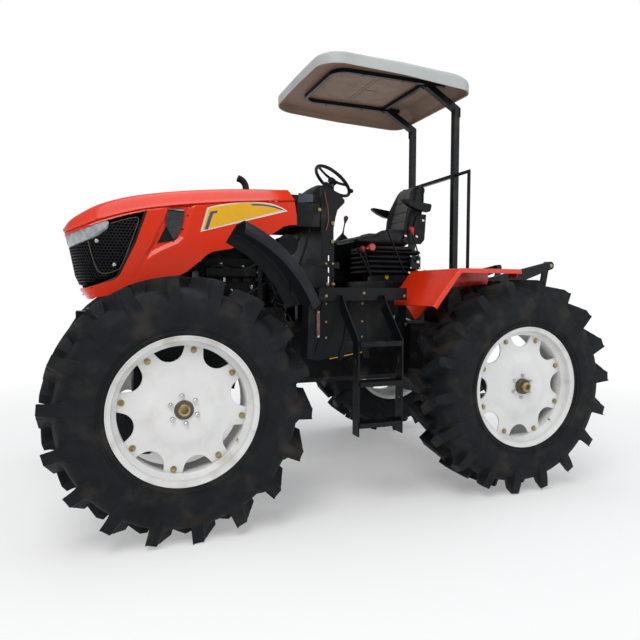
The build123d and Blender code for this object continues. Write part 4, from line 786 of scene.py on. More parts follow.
def top_z(x, y):
    """Height of the hood's top at a place in plan."""
    x = min(x, 2112)
    crease = crease_at(x)
    edge = plan_half(x)
    if abs(y) >= edge:
        return crease
    half, shoulder, crown = (soft_table(HOOD_ROWS, x, column) for column in (2, 3, 4))
    knee = max(0.06, 1 - half / max(edge, half + 20))
    section = ((0, crease), (0.035, crease + 7), (knee, shoulder), (0.64, (shoulder + crown) / 2 + 4),
               (1.0, crown))
    return soft_table(section, 1 - abs(y) / edge)


spots = []
for i in range(111):
    x = HOOD_REAR + (2117.9 - HOOD_REAR) * (1 - (1 - i / 110) ** 1.25)
    for j in range(37):
        y = plan_half(x) * squared(-1 + 2 * j / 36, 0.9)
        z = top_z(x, y)
        spots.append((x + max(0.0, 1 - (x - HOOD_REAR) / 185) * (z - LEAN_Z) * LEAN, y, z))
top_mesh = raw_mesh("hood_top", spots, grid(110, 36))
hood_top = place("hood_top", top_mesh, "hood", red_paint, 30)
mod = hood_top.modifiers.new("wall", "SOLIDIFY")
mod.thickness = WALL * MM
mod.offset = 1


def film(name, poly, out, material, step=5.0):
    """Flat film on the hood's sides inside an outline of (x, z) points."""
    x0, x1 = min(p[0] for p in poly), max(p[0] for p in poly)
    z0, z1 = min(p[1] for p in poly), max(p[1] for p in poly)
    nx, nz = max(2, int((x1 - x0) / step)), max(2, int((z1 - z0) / step))
    spots = [(x0 + (x1 - x0) * i / nx, z0 + (z1 - z0) * j / nz) for i in range(nx + 1) for j in range(nz + 1)]
    faces = []
    for quad in grid(nx, nz):
        if inside(poly, sum(spots[q][0] for q in quad) / 4, sum(spots[q][1] for q in quad) / 4):
            faces.append(list(reversed(quad)))
    for v in open_points(faces):
        spots[v] = to_edge(poly, *spots[v])[:2]
    pts = [Vector((x, hood_side(hood_share(x), z).y + out, z)) for x, z in spots]
    mesh = both_halves(name, pts, faces)
    edit(mesh, drop_loose)
    place(name, mesh, "hood", material, smooth=60)


film("decal_edge", [(1174, 1970), (1122, 2150), (1060, 2170), (1001, 2183), (915, 2200), (825, 2211),
                    (750, 2215), (680, 2214), (630, 2208), (588, 2199), (540, 2182), (494, 2157)],
     0.6, decal_white, 9)
film("decal_field", [(1158, 1982), (1113, 2143), (1060, 2161), (1001, 2174), (915, 2191), (825, 2202),
                     (750, 2206), (680, 2205), (632, 2198), (592, 2189), (548, 2173), (530, 2164)],
     1.0, decal_yellow, 9)
film("decal_bracket", [(1045, 2134), (1100, 2122), (1144, 1986), (1118, 1990), (1079, 2108), (1048, 2116)],
     1.4, decal_blue)
film("decal_swoosh", [(792, 2197), (740, 2200), (680, 2199), (640, 2196), (597, 2189), (550, 2176),
                      (512, 2160), (550, 2164), (597, 2176), (640, 2184), (690, 2188), (780, 2185)],
     1.4, decal_blue)

# Grille: dark back sheet of painted shade behind the holes, honeycomb, outline and surround
grille_back = hood_sheet("grille_back", black_and_painted_shade, 0.55, 40, 70, back_keep, inset=30, thick=4)
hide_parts("hood_grille")


def honeycomb():
    """Hexagonal mesh wrapped over the grille, one ring of bars for each cell."""
    s = Shape()
    pitch = 24.0
    rise = pitch * 0.866
    arcs = []
    length = 0.0
    before = None
    for i in range(601):
        t = 0.60 + 0.40 * i / 600
        x, y, _ = hood_edge(t)
        if before:
            length += math.hypot(x - before[0], y - before[1])
        before = (x, y)
        arcs.append((length, t))

    def wrapped(arc, z, inset):
        t = lerp_table(arcs, 2 * length - arc if arc > length else arc)
        p = hood_side(t, z, inset)
        return Vector((p.x, p.y * (-1 if arc > length else 1), p.z)), t

    field = offset_outline(GRILLE, -30)
    for r in range(int((2110 - 1560) / rise) + 1):
        for c in range(int(2 * length / pitch) + 1):
            arc = (c + 0.5 * (r % 2)) * pitch
            z = 1565 + r * rise
            mid, t = wrapped(min(arc, 2 * length), z, 12)
            if not inside(field, mid.x, z) and not (t > 0.9 and 1570 < z < 1915):
                continue
            rings = []
            for radius, inset in ((pitch * 0.577, 14), (pitch * 0.44, 13), (pitch * 0.40, 24)):
                rings.append([])
                for k in range(6):
                    a = math.pi / 6 + math.pi / 3 * k
                    along = max(0, min(2 * length, arc + radius * math.cos(a)))
                    rings[-1].append(wrapped(along, z + radius * math.sin(a), inset)[0])
            s.loop(rings, cap=False)
    s.build("grille_mesh", "hood", grille_black, "plastic_black", 25)


honeycomb()
outline, surround, studs = (Shape() for _ in range(3))
for side in BOTH:
    pts = []
    for x, z in ((1955, 1880), (1925, 1760), (1885, 1668), (1830, 1655), (1760, 1680), (1735, 1705),
                 (1690, 1810), (1640, 1949), (1612, 2030), (1625, 2055), (1700, 2038), (1800, 2006)):
        p = hood_side(hood_share(x), z, 10)
        pts.append((p.x, p.y * side, p.z))
    outline.curve(pts, 3.2, 6, 4)
    pts = []
    for x, z in GRILLE[:7]:
        p = hood_side(min(hood_share(x), 0.80), z, 10)
        pts.append((p.x + 9, p.y * side, p.z))
    surround.curve(pts, 11, 8, 3)
    for x, z in ((1894, 1880), (1780, 1717)):
        p = hood_side(hood_share(x), z, 6)
        studs.bolt((p.x, side * p.y, z), (0, side, 0), 15, 7)
outline.build("grille_outline", "hood", grille_trim, smooth=50)
surround.build("grille_surround", "hood", grille_black, smooth=50)
studs.build("grille_bolts", "hood", zinc, smooth=30)


def lamp(s, side):
    """Headlamp: a wedge wrapped in creased film."""
    rng = random.Random(3)
    lower = ((1806, 1989), (1860, 1930), (1930, 1893), (2000, 1868), (2060, 1850), (2110, 1842))
    upper = ((1824, 2027), (1873, 2034), (1940, 2005), (2000, 1984), (2060, 1962), (2110, 1946))
    rings = []
    steps = 46
    for i in range(steps + 1):
        k = i / steps
        t = 0.735 + 0.235 * k
        x = hood_edge(t)[0]
        low, high = lerp_table(lower, x), lerp_table(upper, x)
        ring = []
        for j in range(14):
            a = TURN * j / 14
            z = (low + high) / 2 + (high - low) / 2 * math.sin(a) * (0.55 if i == 0 else 1)
            front = max(0.0, math.cos(a))
            swell = 14 * front * math.sin(math.pi * min(1, k + 0.15))
            inset = 16 - 14 * front + (0 if math.cos(a) > 0 else 8)
            p = hood_side(t, z, inset - swell * 0.2)
            crinkle = rng.uniform(-2.5, 2.5)
            ring.append((p.x - 2 + crinkle * 0.5, side * (p.y + crinkle * 0.6 - 2), p.z + crinkle))
        rings.append(ring)
    s.loop(rings)


# Headlamps
lamps = Shape()
for side in BOTH:
    lamp(lamps, side)
lamp_obj = lamps.build("headlamp_film", "hood", lamp_film, "lamp_glass", smooth=70)
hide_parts("headlamps")

# Side vents: dark insert, film-wrapped louvre and chrome edges
VENT_PLATE = [(1290, 2130), (1398, 2124), (1424, 1996), (1482, 1880), (1366, 1899), (1318, 1974),
              (1292, 2096)]
VENT_WRAP = [(1292, 2112), (1400, 2114), (1420, 2060), (1426, 1998), (1372, 1904), (1345, 1925), (1318, 1974),
             (1294, 2070)]
vent, vent_bolts = Shape(), Shape()
for side in BOTH:
    y = side * 366
    vent.prism(VENT_PLATE, y - side * 6, y + side * 4, 0)
    vent.prism(VENT_WRAP, y, y + side * 11, 1)
    vent.tube([(1290, side * 374, 2124), (1402, side * 374, 2121)], 8, 8, 2)
    vent.tube([(1424, side * 376, 2000), (1372, side * 376, 1900)], 4, 8, 2)
    vent_bolts.side_bolts(side, 364, ((1262, 2085), (1300, 1985)), 9, 5)
vent.build("hood_vents", "hood", [black_plastic, vent_film, chrome], smooth=30, bevel=0.003)
vent_bolts.build("vent_bolts", "hood", black_paint, smooth=30)

# Tail pipe
pipe, mouth = Shape(), Shape()
pipe.tube(smooth_path([(730, 0, 2290), (730, 0, 2350), (731, 0, 2385), (742, 0, 2420), (768, 0, 2446),
                       (800, 0, 2459)], 5), [27] * 21 + [28] * 5, 20)
pipe.lathe((730, 0, 2312), (0, 0, 1), ((0, 32), (8, 36), (14, 32)), 24)
pipe_obj = pipe.build("tail_pipe_bend", "hood", black_paint, "frame_black", smooth=45)
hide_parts("tail_pipe")
# Dark disc in the pipe's mouth: painted shade of its hollow inside.
mouth.lathe((800, 0, 2459), (0.87, 0, 0.35), ((-1, 22), (0.6, 22)), 20)
mouth.build("tail_pipe_mouth", "hood", black_and_painted_shade, smooth=30)

# ------------------------------------------------------------------ canopy roof
ROOF_TOP = 3359
ROOF_CEILING = 3315.5
POST_Y = 355


def run_points(a, b, count):
    return [(a[0] + (b[0] - a[0]) * k / count, a[1] + (b[1] - a[1]) * k / count) for k in range(count)]


def arc_points(x, y, radius, start, count, shift):
    """Quarter turn about a corner, clockwise, moved sideways."""
    angles = [math.radians(start - 90 * k / count) for k in range(count)]
    return [(x + radius * math.cos(a), y + radius * math.sin(a) + shift) for a in angles]


def roof_ring(rear, side, front, corner):
    """Plan of the roof, drawn in at its rear, sides and front; always the same count of points."""
    x0, x1, w = -1055 + rear, 300 - front, 668 - side
    wr, wf = w - 38, w - 28
    c0, c1 = corner, corner * 1.6
    middle = (x0 + x1) / 2
    pts = run_points((x0 + c0, wr + 4), (middle, w), 12)
    pts += run_points((middle, w), (x1 - c1, wf + 8), 12)
    pts += arc_points(x1 - c1, wf - c1 + 1, c1, 90, 16, 7)
    pts += [(x1 + 6 * math.sin(math.pi * k / 24), (wf - c1) * (1 - 2 * k / 24)) for k in range(24)]
    pts += arc_points(x1 - c1, -wf + c1 - 1, c1, 0, 16, -7)
    pts += run_points((x1 - c1, -wf - 8), (middle, -w), 12)
    pts += run_points((middle, -w), (x0 + c0, -wr - 4), 12)
    pts += arc_points(x0 + c0, -wr + c0, c0, -90, 14, -4)
    pts += run_points((x0, -wr + c0), (x0, wr - c0), 20)
    pts += arc_points(x0 + c0, wr - c0, c0, 180, 14, 4)
    return pts


def rim_z(x):
    return 3238 + 0.0524 * x


roof = Shape()
rings = []
# outer skin: share of the way in, height above the rim, and share of the way up to the flat top
for share, lift, climb in ((0.0, 0, 0.0), (0.0, 12, 0.0), (0.0, 60, 0.0), (0.01, 74, 0.0), (0.04, 84, 0.03),
                           (0.10, 88, 0.12), (0.22, 90, 0.30), (0.40, 92, 0.52), (0.62, 94, 0.75),
                           (0.85, 95, 0.92), (1.0, 96, 1.0)):
    plan = roof_ring(120 * share, 130 * share, 130 * share, 130 - 30 * share)
    rings.append([(x, y, (rim_z(x) + lift) * (1 - climb) + ROOF_TOP * climb) for x, y in plan])
for more in (0.35, 0.7, 0.97):
    plan = roof_ring(120 + 540 * more, 130 + 520 * more, 130 + 540 * more, 100 * (1 - more) + 4)
    rings.append([(x, y, ROOF_TOP + 0.6 * more) for x, y in plan])
roof.loop(rings, cap=False, mark=0)
roof.add(rings[-1], [list(range(len(rings[-1])))], 0)
# inner skin: share of the way in, wall, and height above the rim, or none where it climbs to the ceiling
rings = [[(x, y, rim_z(x)) for x, y in roof_ring(0, 0, 0, 130)]]
for share, inset, lift in ((0.0, 14, 2), (0.0, 15, 26), (0.03, 16, 44), (0.14, 16, 56), (0.35, 16, None),
                           (0.6, 16, None), (0.82, 16, None), (1.0, 16, None)):
    plan = roof_ring(inset + 76 * share, inset + 200 * share, inset + 155 * share, 122 - 40 * share)
    climb = 0.0 if lift else math.sin(max(0.0, (share - 0.14) / 0.86) * math.pi / 2)
    rings.append([(x, y, (rim_z(x) + (lift or 56)) * (1 - climb) + ROOF_CEILING * climb) for x, y in plan])
for more in (0.25, 0.5, 0.75, 0.97):
    plan = roof_ring(92 + 560 * more, 216 + 430 * more, 171 + 480 * more, 80 * (1 - more) + 4)
    rings.append([(x, y, ROOF_CEILING) for x, y in plan])
roof.loop(rings, cap=False, mark=1)
roof.add(rings[-1], [list(reversed(range(len(rings[-1]))))], 1)
roof_obj = roof.build("canopy_top", "chassis", [roof_grey, roof_taupe], "canopy_white", 50)
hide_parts("canopy_roof")

# Ribs of the ceiling, clips and plates of the posts
ribs, clips, plates = (Shape() for _ in range(3))
for x, half in ((-135, 183), (-526, 174)):
    ribs.tube(round_rect(x, 0, half, 318, 60, 3317), 6.5, 8, closed=True)
ribs.tube(round_rect(-375, 0, 625, 560, 110, 3330), 2, 6, closed=True)
ribs.build("canopy_ribs", "chassis", roof_taupe, "canopy_white", smooth=60)
for x in (-520, -150):
    for side in BOTH:
        clips.side_box(side, 388, 22, x - 9, 3279, x + 9, 3285)
        clips.lathe((x, side * 404, 3285), (0, 0, -1), ((0, 7), (8, 7), (9, 5)), 10)
clips.build("canopy_clips", "chassis", black_paint, "frame_black", smooth=30)
for side in BOTH:
    plates.side_box(side, POST_Y, 31, -1063, 1620, -1023, 1634)
    plates.side_box(side, POST_Y, 60, -1100, 1620, -1020, 1630)
    for dx in (-32, 32):
        for dy in (-46, 46):
            plates.bolt((-1060 + dx, side * POST_Y + dy, 1630), (0, 0, 1), 17, 8)
    for z, x in ((3105, -1034), (3270, -742)):
        for dy in (-14, 14):
            plates.bolt((x, side * POST_Y + dy, z), (1, 0, 0), 13, 6)
    for x in (-1034, -1086):
        plates.side_box(side, 384, 3, x - 5, 3050, x + 5, 3130)
plates.build("post_plates", "chassis", black_paint, "frame_black", smooth=30, bevel=0.002)

# ------------------------------------------------------------------ fenders
# Front fenders and their stays: place across the tractor and radius of the crown about its own centre
FENDER_ROWS = ((720, 850), (800, 892), (880, 918), (960, 936), (1050, 952), (1120, 958), (1150, 950),
               (1180, 930), (1220, 902))
FENDER_CENTRE = (1405, 1096)
fender = Shape()
for side in BOTH:
    rings = []
    for i in range(45):
        row = []
        for j in range(41):
            y = 720 + 500 * j / 40
            rolls = sum(1 / (1 + math.exp((y - edge) / 3.0)) for edge in (1158, 1192))
            rib = 5 * math.exp(-((y - 860) / 10) ** 2)
            r = soft_table(FENDER_ROWS, y) + (7 * rolls - 14) * 0.8 + rib
            a = math.radians(22 + (45.5 - 1.5 * abs(y - 980) / 240) * i / 44)
            row.append(Vector((FENDER_CENTRE[0] - r * math.cos(a), side * y,
                               FENDER_CENTRE[1] + r * math.sin(a))))
        v = math.radians(22 + 44.5 * i / 44)
        inward = Vector((math.cos(v), 0, -math.sin(v)))
        lip = [row[-1] + inward * 26 + Vector((0, side * out, 0)) for out in (1.0, -4)]
        rings.append(row + lip + [p + inward * 6 for p in reversed(row[:-1])])
    if side < 0:
        rings = [list(reversed(r)) for r in rings]
    fender.loop(rings)
fender_obj = fender.build("front_fender_skins", "chassis", fender_plastic, "plastic_black", smooth=35)
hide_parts("front_fenders")
stays = Shape()
for side in BOTH:
    stays.tube(bend_path([(411, side * 810, 1495), (540, side * 812, 1495), (612, side * 830, 1520),
                          (640, side * 905, 1640)], 60), 19, 12)
    stays.side_box(side, 810, 55, 411, 1440, 423, 1550)
    for dy, dz in ((-38, -38), (38, -38), (-38, 38), (38, 38)):
        stays.bolt((423, side * 810 + dy, 1495 + dz), (1, 0, 0), 17, 8)
    stays.tube([(640, side * 905, 1640), (760, side * 905, 1790), (930, side * 905, 1925)], 12, 10)
stays.build("fender_stays", "chassis", black_paint, "frame_black", smooth=40)

# Rear fenders: place across the tractor and drop below the top, round the section
REAR_SECTION = ((480, 5), (484, 1), (490, 0), (1128, 0), (1142, 2), (1149, 8), (1150, 16), (1150, 34),
                (1145, 34), (1145, 16), (1141, 10), (1128, 7), (490, 7), (480, 9))
rear = Shape()
for side in BOTH:
    path = bend_path([(-1119, 0, 1705), (-560, 0, 1705), (-344, 0, 1430)], 34, 6)
    rings = []
    for i, p in enumerate(path):
        d = (path[min(i + 1, len(path) - 1)] - path[max(i - 1, 0)]).normalized()
        out = Vector((-d.z, 0, d.x))
        rings.append([p - out * drop + Vector((0, side * y, 0)) for y, drop in REAR_SECTION])
    if side < 0:
        rings = [list(reversed(r)) for r in rings]
    rear.loop(rings)
    rear.prism([(-1119, 1700), (-562, 1700), (-348, 1427), (-435, 1313), (-700, 1560), (-1119, 1600)],
               side * 752, side * 758)
    rear.prism([(-1119, 1700), (-562, 1700), (-500, 1620), (-500, 1600), (-1119, 1600)],
               side * 474, side * 480)
rear_obj = rear.build("rear_fender_skins", "chassis", red_paint, "body_orange", smooth=35)
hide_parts("rear_fenders")


# ------------------------------------------------------------------ seat
PAD_CAP = 0.018
PANEL_HALF = 140
BACK_PANEL_HALF = 128
BACK_TOP_SEAM = 2345.0


def evaluated_mesh(obj):
    deps = bpy.context.evaluated_depsgraph_get()
    return bpy.data.meshes.new_from_object(obj.evaluated_get(deps))


def puff(mesh, pinned):
    """Pad blown up by a cloth simulation, held along its seams; returns its mesh."""
    obj = link("pad_work", mesh)
    mod = obj.modifiers.new("remesh", "REMESH")
    mod.mode = "VOXEL"
    mod.voxel_size = 0.008
    work = evaluated_mesh(obj)
    obj.modifiers.clear()
    obj.data = work
    start = [v.co.copy() for v in work.vertices]
    group = obj.vertex_groups.new(name="seam")
    for i, co in enumerate(start):
        if pinned(co.x / MM, co.y / MM, co.z / MM):
            group.add([i], 1.0, "REPLACE")
    cloth = obj.modifiers.new("cloth", "CLOTH")
    cloth.settings.use_pressure = True
    cloth.settings.uniform_pressure_force = 4.0
    cloth.settings.vertex_group_mass = "seam"
    cloth.settings.quality = 5
    cloth.settings.tension_stiffness = 12
    cloth.settings.compression_stiffness = 12
    cloth.settings.bending_stiffness = 0.8
    cloth.settings.effector_weights.gravity = 0
    cloth.collision_settings.use_collision = False
    cloth.point_cache.frame_start = 1
    cloth.point_cache.frame_end = 20
    for frame_number in range(1, 21):
        bpy.context.scene.frame_set(frame_number)
    work = evaluated_mesh(obj)
    obj.modifiers.clear()
    for v, s in zip(work.vertices, start):
        d = v.co - s
        if d.length > PAD_CAP:
            v.co = s + d.normalized() * PAD_CAP
    bpy.context.scene.frame_set(1)

    def relax(bm):
        bmesh.ops.smooth_vert(bm, verts=bm.verts, factor=0.5, use_axis_x=True, use_axis_y=True,
                              use_axis_z=True)

    edit(work, relax)
    bpy.data.objects.remove(obj)
    return work


def finish_pad(name, work, is_panel, part):
    """Gives a pad its panels and one subdivision."""
    work.materials.clear()
    for m in (vinyl, vinyl_grey):
        work.materials.append(m)
    for p in work.polygons:
        c = p.center / MM
        p.use_smooth = True
        p.material_index = 1 if is_panel(c.x, c.y, c.z) else 0
    obj = link(name, work)
    mod = obj.modifiers.new("smooth", "SUBSURF")
    mod.levels = 1
    mod.render_levels = 1
    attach(obj, "chassis")
    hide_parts(part)


# distance forward, bottom, height of the middle and of the side bolsters, and half width
SEAT_ROWS = ((-690, 1938, 2040, 2062, 205), (-672, 1930, 2040, 2078, 226), (-600, 1929, 2030, 2084, 238),
             (-500, 1929, 2022, 2082, 240), (-430, 1929, 2018, 2066, 240), (-370, 1932, 2014, 2030, 238),
             (-300, 1938, 2012, 2014, 236), (-230, 1945, 2006, 2003, 230), (-190, 1952, 1994, 1990, 218),
             (-172, 1962, 1980, 1978, 190))
SEAT_BOLSTER = ((0, 0), (0.52, 0.02), (0.68, 0.85), (0.82, 1.0), (1.0, 0.88))
BACK_BOLSTER = ((0, 0), (0.5, 0.02), (0.68, 0.85), (0.82, 1.0), (1.0, 0.8))
CUSHION_SEAMS = (-560.0, -445.0, -330.0)
BACK_SEAMS = (2090.0, 2170.0, 2250.0, BACK_TOP_SEAM)
BACK_LEAN = ((0, -694), (0.18, -704), (0.4, -722), (0.62, -745), (0.78, -758), (0.9, -778), (1.0, -800))


def cushion_pin(x, y, z):
    if z < 1950:
        return True
    if abs(abs(y) - PANEL_HALF) < 6 and x > -660 and z > 1990:
        return True
    return abs(y) < PANEL_HALF and any(abs(x - q) < 6 for q in CUSHION_SEAMS) and z > 1985


def back_surface(k):
    """Front face of the backrest at a share of its height: distance forward and height."""
    return soft_table(BACK_LEAN, k), 2000 + 482 * k


BACK_FACE = [tuple(reversed(back_surface(q / 10))) for q in range(11)]


def back_pin(x, y, z):
    if x < lerp_table(BACK_FACE, z) - 50:
        return True
    if abs(abs(y) - BACK_PANEL_HALF) < 6 and 2010 < z < 2340:
        return True
    return abs(y) < (BACK_PANEL_HALF if z < 2340 else 300) and any(abs(z - q) < 5 for q in BACK_SEAMS)


def back_panel(x, y, z):
    if z < BACK_TOP_SEAM:
        return abs(y) < BACK_PANEL_HALF
    return abs(y) < 110 and x > -850 + (z - BACK_TOP_SEAM) * -0.1


# Cushion
cushion = Shape()
rings = []
for x, low, mid, side_top, width in SEAT_ROWS:
    ring = []
    for c, t in turns(40):
        y = width * squared(c, 0.4)
        top = mid + (side_top - mid) * soft_table(SEAT_BOLSTER, abs(y) / 240)
        ring.append((x, y, (low + top) / 2 + (top - low) / 2 * squared(t, 0.4)))
    rings.append(ring)
cushion.loop(rings)
cushion_mesh = puff(mesh_from("cushion", cushion.verts, cushion.faces), cushion_pin)
finish_pad("seat_cushion_pad", cushion_mesh, lambda x, y, z: abs(y) < PANEL_HALF and x > -680 and z > 1985,
           "seat_cushion")

# Backrest
back = Shape()
rings = []
for i in range(15):
    k = i / 14
    x, z = back_surface(k)
    thick = soft_table(((0, 84), (0.3, 92), (0.7, 92), (0.9, 104), (1.0, 78)), k)
    width = soft_table(((0, 190), (0.06, 214), (0.3, 234), (0.6, 236), (0.74, 218), (0.86, 198), (0.95, 186),
                        (1.0, 158)), k)
    swell = soft_table(((0, 16), (0.3, 34), (0.6, 30), (0.75, 10), (1.0, 0)), k)
    ring = []
    for c, t in turns(40):
        y = width * squared(c, 0.4)
        front_x = x + swell * soft_table(BACK_BOLSTER, abs(y) / width)
        back_x = x - thick
        ring.append(((front_x + back_x) / 2 + (front_x - back_x) / 2 * squared(t, 0.4), y, z))
    rings.append(ring)
back.loop(rings)
back_mesh = puff(mesh_from("back", back.verts, back.faces), back_pin)
finish_pad("seat_back_pad", back_mesh, back_panel, "seat_back")

# Seat frame: back shell, armrests and brackets
ARMREST = [(-582, 2328), (-640, 2322), (-848, 2296), (-856, 2286), (-846, 2240), (-832, 2228), (-714, 2243),
           (-640, 2272), (-586, 2306), (-577, 2318)]
SEAT_BRACKET = [(-600, 1975), (-640, 2040), (-700, 2044), (-742, 2190), (-770, 2215), (-842, 2212),
                (-826, 1990), (-790, 1950), (-640, 1945)]
shell, studs = Shape(), Shape()
rings = []
for i in range(13):
    k = i / 12
    rear_x = back_surface(k)[0] - soft_table(((0, 60), (0.12, 92), (0.5, 104), (0.8, 108), (1.0, 84)), k)
    width = soft_table(((0, 196), (0.1, 228), (0.5, 244), (0.7, 232), (0.86, 206), (1.0, 166)), k)
    ring = []
    for m in range(20):
        share = -1 + 2 * m / 19
        ring.append((rear_x + 34 * abs(share) ** 6, width * share, 1975 + 525 * k))
    rings.append(ring + [(x + 7, y * 0.985, z) for x, y, z in reversed(ring)])
shell.loop(rings)
for y in (-70, 0, 70):
    shell.tube([(back_surface(q / 8)[0] - 103, y, 2020 + 440 * q / 8) for q in range(1, 8)], 7, 8)
for side in BOTH:
    shell.prism(ARMREST, side * 262, side * 318)
    shell.tube([(-842, side * 240, 2262), (-842, side * 262, 2262)], 22, 16)
    shell.tube([(-835, side * 200, 2262), (-842, side * 245, 2262)], 15, 12)
    shell.prism(SEAT_BRACKET, side * 246, side * 254)
    for x, z in ((-636, 2016), (-746, 2014), (-811, 2158)):
        studs.lathe((x, side * 254, z), (0, side, 0), ((0, 13), (3, 13), (7, 9), (8, 4)), 16)
shell_obj = shell.build("seat_shell", "chassis", black_plastic, "plastic_black", 35, 0.006, 3)
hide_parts("seat_frame")
studs.build("seat_studs", "chassis", zinc, "bright_steel", smooth=40)


def on_pad(work, up, path):
    """Path over a pad, raised along one axis to the pad's surface."""
    spots = [tuple(v.co / MM) for v in work.vertices]
    one, two = (i for i in range(3) if i != up)
    out = []
    for p, q in path:
        near = [v[up] for v in spots if abs(v[one] - p) < 7 and abs(v[two] - q) < 7]
        if near:
            spot = [p, q]
            spot.insert(up, max(near) + 0.5)
            out.append(spot)
    return out


# Piping along the seams
piping = Shape()
for side in BOTH:
    piping.curve(on_pad(cushion_mesh, 2, [(x, side * PANEL_HALF) for x in range(-660, -185, 25)]), 3.2, 8, 2)
    piping.curve(on_pad(back_mesh, 0, [(side * BACK_PANEL_HALF, z) for z in range(2015, 2345, 20)]),
                 3.2, 8, 2)
for x in CUSHION_SEAMS:
    piping.curve(on_pad(cushion_mesh, 2, [(x, y) for y in range(-135, 140, 15)]), 1.8, 6, 2)
for z in BACK_SEAMS:
    reach = 125 if z < 2340 else 165
    piping.curve(on_pad(back_mesh, 0, [(y, z) for y in range(-reach, reach + 1, 15)]), 2.2, 6, 2)
piping.build("seat_piping", "chassis", black_plastic, "seat_vinyl", smooth=60)

# Seat base: bellows, pan, suspension fittings and weight dial
bellows, pan, fittings, disc, dial = (Shape() for _ in range(5))
rings = []
for i in range(61):
    k = i / 60
    wave = abs(math.sin(math.pi * 5 * k))
    inset = 26 * (1 - wave**0.75) + 4 * math.sin(17 * k)
    half = 270 - inset + 1.2 * math.sin(9 * k)
    rings.append(round_rect(-570, 0, half, 200 - inset, 46, 1682 + 218 * k, 10))
bellows.loop(rings)
bellows_obj = bellows.build("seat_bellows", "chassis", bellows_rubber, "plastic_black", smooth=70)
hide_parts("seat_base")
pan.loop([round_rect(-530, 0, half + 8, half, 40, z, 10)
          for half, z in ((208, 1898), (212, 1904), (212, 1922), (206, 1930))])
pan.box((-790, -172, 1620), (-410, 172, 1634))
pan.box((-760, -150, 1634), (-440, 150, 1684))
for side in BOTH:
    pan.side_box(side, 150, 24, -800, 1622, -400, 1640)
    pan.tube([(-470, side * 176, 1699), (-600, side * 180, 1706)], 6, 8)
pan.box((-700, 200, 1730), (-800, 236, 1850))
pan.build("seat_pan", "chassis", black_paint, "frame_black", smooth=35, bevel=0.003)
fittings.lathe((-769, 236, 1792), (0, 1, 0), ((0, 17), (6, 17), (9, 12), (9, 6)), 20)
fittings.lathe((-700, 200, 1700), (0, 1, 0), ((0, 10), (12, 10)), 12)
fittings.side_bolts(1, 236, ((-700, 1842), (-790, 1842), (-700, 1740), (-790, 1740)), 10, 5)
fittings.build("suspension_fittings", "chassis", zinc, "bright_steel", smooth=35)
disc.lathe((-508, 152, 1660), (0, 1, 0), ((0, 19), (0.8, 19)), 24)
disc.build("yellow_disc", "chassis", yellow_mark, "plastic_black", smooth=30)
dial.lathe((-320, 222, 1912), (0, 1, 0), ((-30, 30), (0, 32), (14, 32), (20, 27), (20, 10)), 28)
for c, s in turns(14):
    dial.tube([(-320 + 31 * c, 224, 1912 + 31 * s), (-320 + 31 * c, 236, 1912 + 31 * s)], 3, 6)
dial.build("weight_dial", "chassis", red_knob, "seat_vinyl", smooth=35)

# ------------------------------------------------------------------ console and levers
# Console box with its boot and gear lever
CONSOLE_Y = -410
console, boot, stem, knob = (Shape() for _ in range(4))
console.prism([(-215, 1560), (-215, 1995), (-440, 1995), (-440, 1620), (-300, 1620), (-300, 1560)],
              CONSOLE_Y - 65, CONSOLE_Y + 65)
console.box((-224, CONSOLE_Y - 58, 1610), (-214, CONSOLE_Y + 58, 1960))
console.box((-430, CONSOLE_Y + 63, 1640), (-320, CONSOLE_Y + 69, 1960))
console_obj = console.build("console_box", "chassis", black_paint, "frame_black", 30, 0.007, 3)
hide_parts("gear_console")
# height, half length and half width of the boot's folds, and the radius of their corners
BOOT_FOLDS = ((1995, 84, 60, 14), (2001, 84, 60, 14), (2006, 74, 52, 16), (2022, 62, 44, 16),
              (2028, 58, 41, 16), (2044, 46, 34, 15), (2050, 41, 31, 14), (2064, 30, 24, 13),
              (2070, 25, 20, 12), (2080, 14, 13, 10), (2092, 11, 11, 9))
boot.loop([round_rect(-330 + (2095 - z) * 0.05, CONSOLE_Y, half_x, half_y, corner, z, 6)
           for z, half_x, half_y, corner in BOOT_FOLDS])
boot.build("console_boot", "chassis", bellows_rubber, "plastic_black", smooth=50)
stem.tube([(-333, CONSOLE_Y, 2080), (-342, CONSOLE_Y, 2140), (-354, CONSOLE_Y, 2196)], 6.5, 10)
stem.tube([(-333, CONSOLE_Y, 2085), (-337, CONSOLE_Y, 2110)], 9, 10)
stem.build("gear_lever_stem", "chassis", black_paint, "frame_black", smooth=50)
knob.lathe((-354, CONSOLE_Y, 2190), (-0.22, 0, 0.97),
           ((0, 11), (16, 13), (30, 19), (46, 23), (60, 21), (69, 12), (71, 3)), 20)
knob.build("gear_knob", "chassis", brown_knob, "plastic_black", smooth=60)

# Levers on both sides of the seat
rods, black_grips, red_grips = (Shape() for _ in range(3))
rods.tube(bend_path([(-428, 288, 2066), (-436, 292, 2052), (-508, 300, 1892), (-600, 296, 1698),
                     (-618, 250, 1690)], 18), 7.5, 10)
rods.tube(bend_path([(-672, 292, 2050), (-680, 292, 2030), (-739, 300, 1848), (-742, 240, 1800)], 18),
          6.5, 10)
rods.tube([(-186, 252, 1868), (-241, 250, 1775), (-330, 240, 1620)], 8, 10)
rods.tube([(-243, 222, 1880), (-263, 220, 1841), (-340, 205, 1625)], 8, 10)
rods.box((-380, 190, 1620), (-300, 262, 1660))
rods.box((-464, -250, 1620), (-378, -205, 1795))
rods.build("side_levers", "chassis", black_paint, "frame_black", smooth=45)
black_grips.lathe((-193, 252, 1862), (0.42, 0, 0.9), ((-6, 8), (4, 13), (26, 17), (40, 18), (46, 10)), 16)
black_grips.lathe((-436, 290, 2054), (0.3, -0.1, 0.95), ((-6, 8), (4, 12), (12, 13), (20, 8)), 16)
black_grips.build("black_grips", "chassis", black_plastic, "plastic_black", smooth=50)
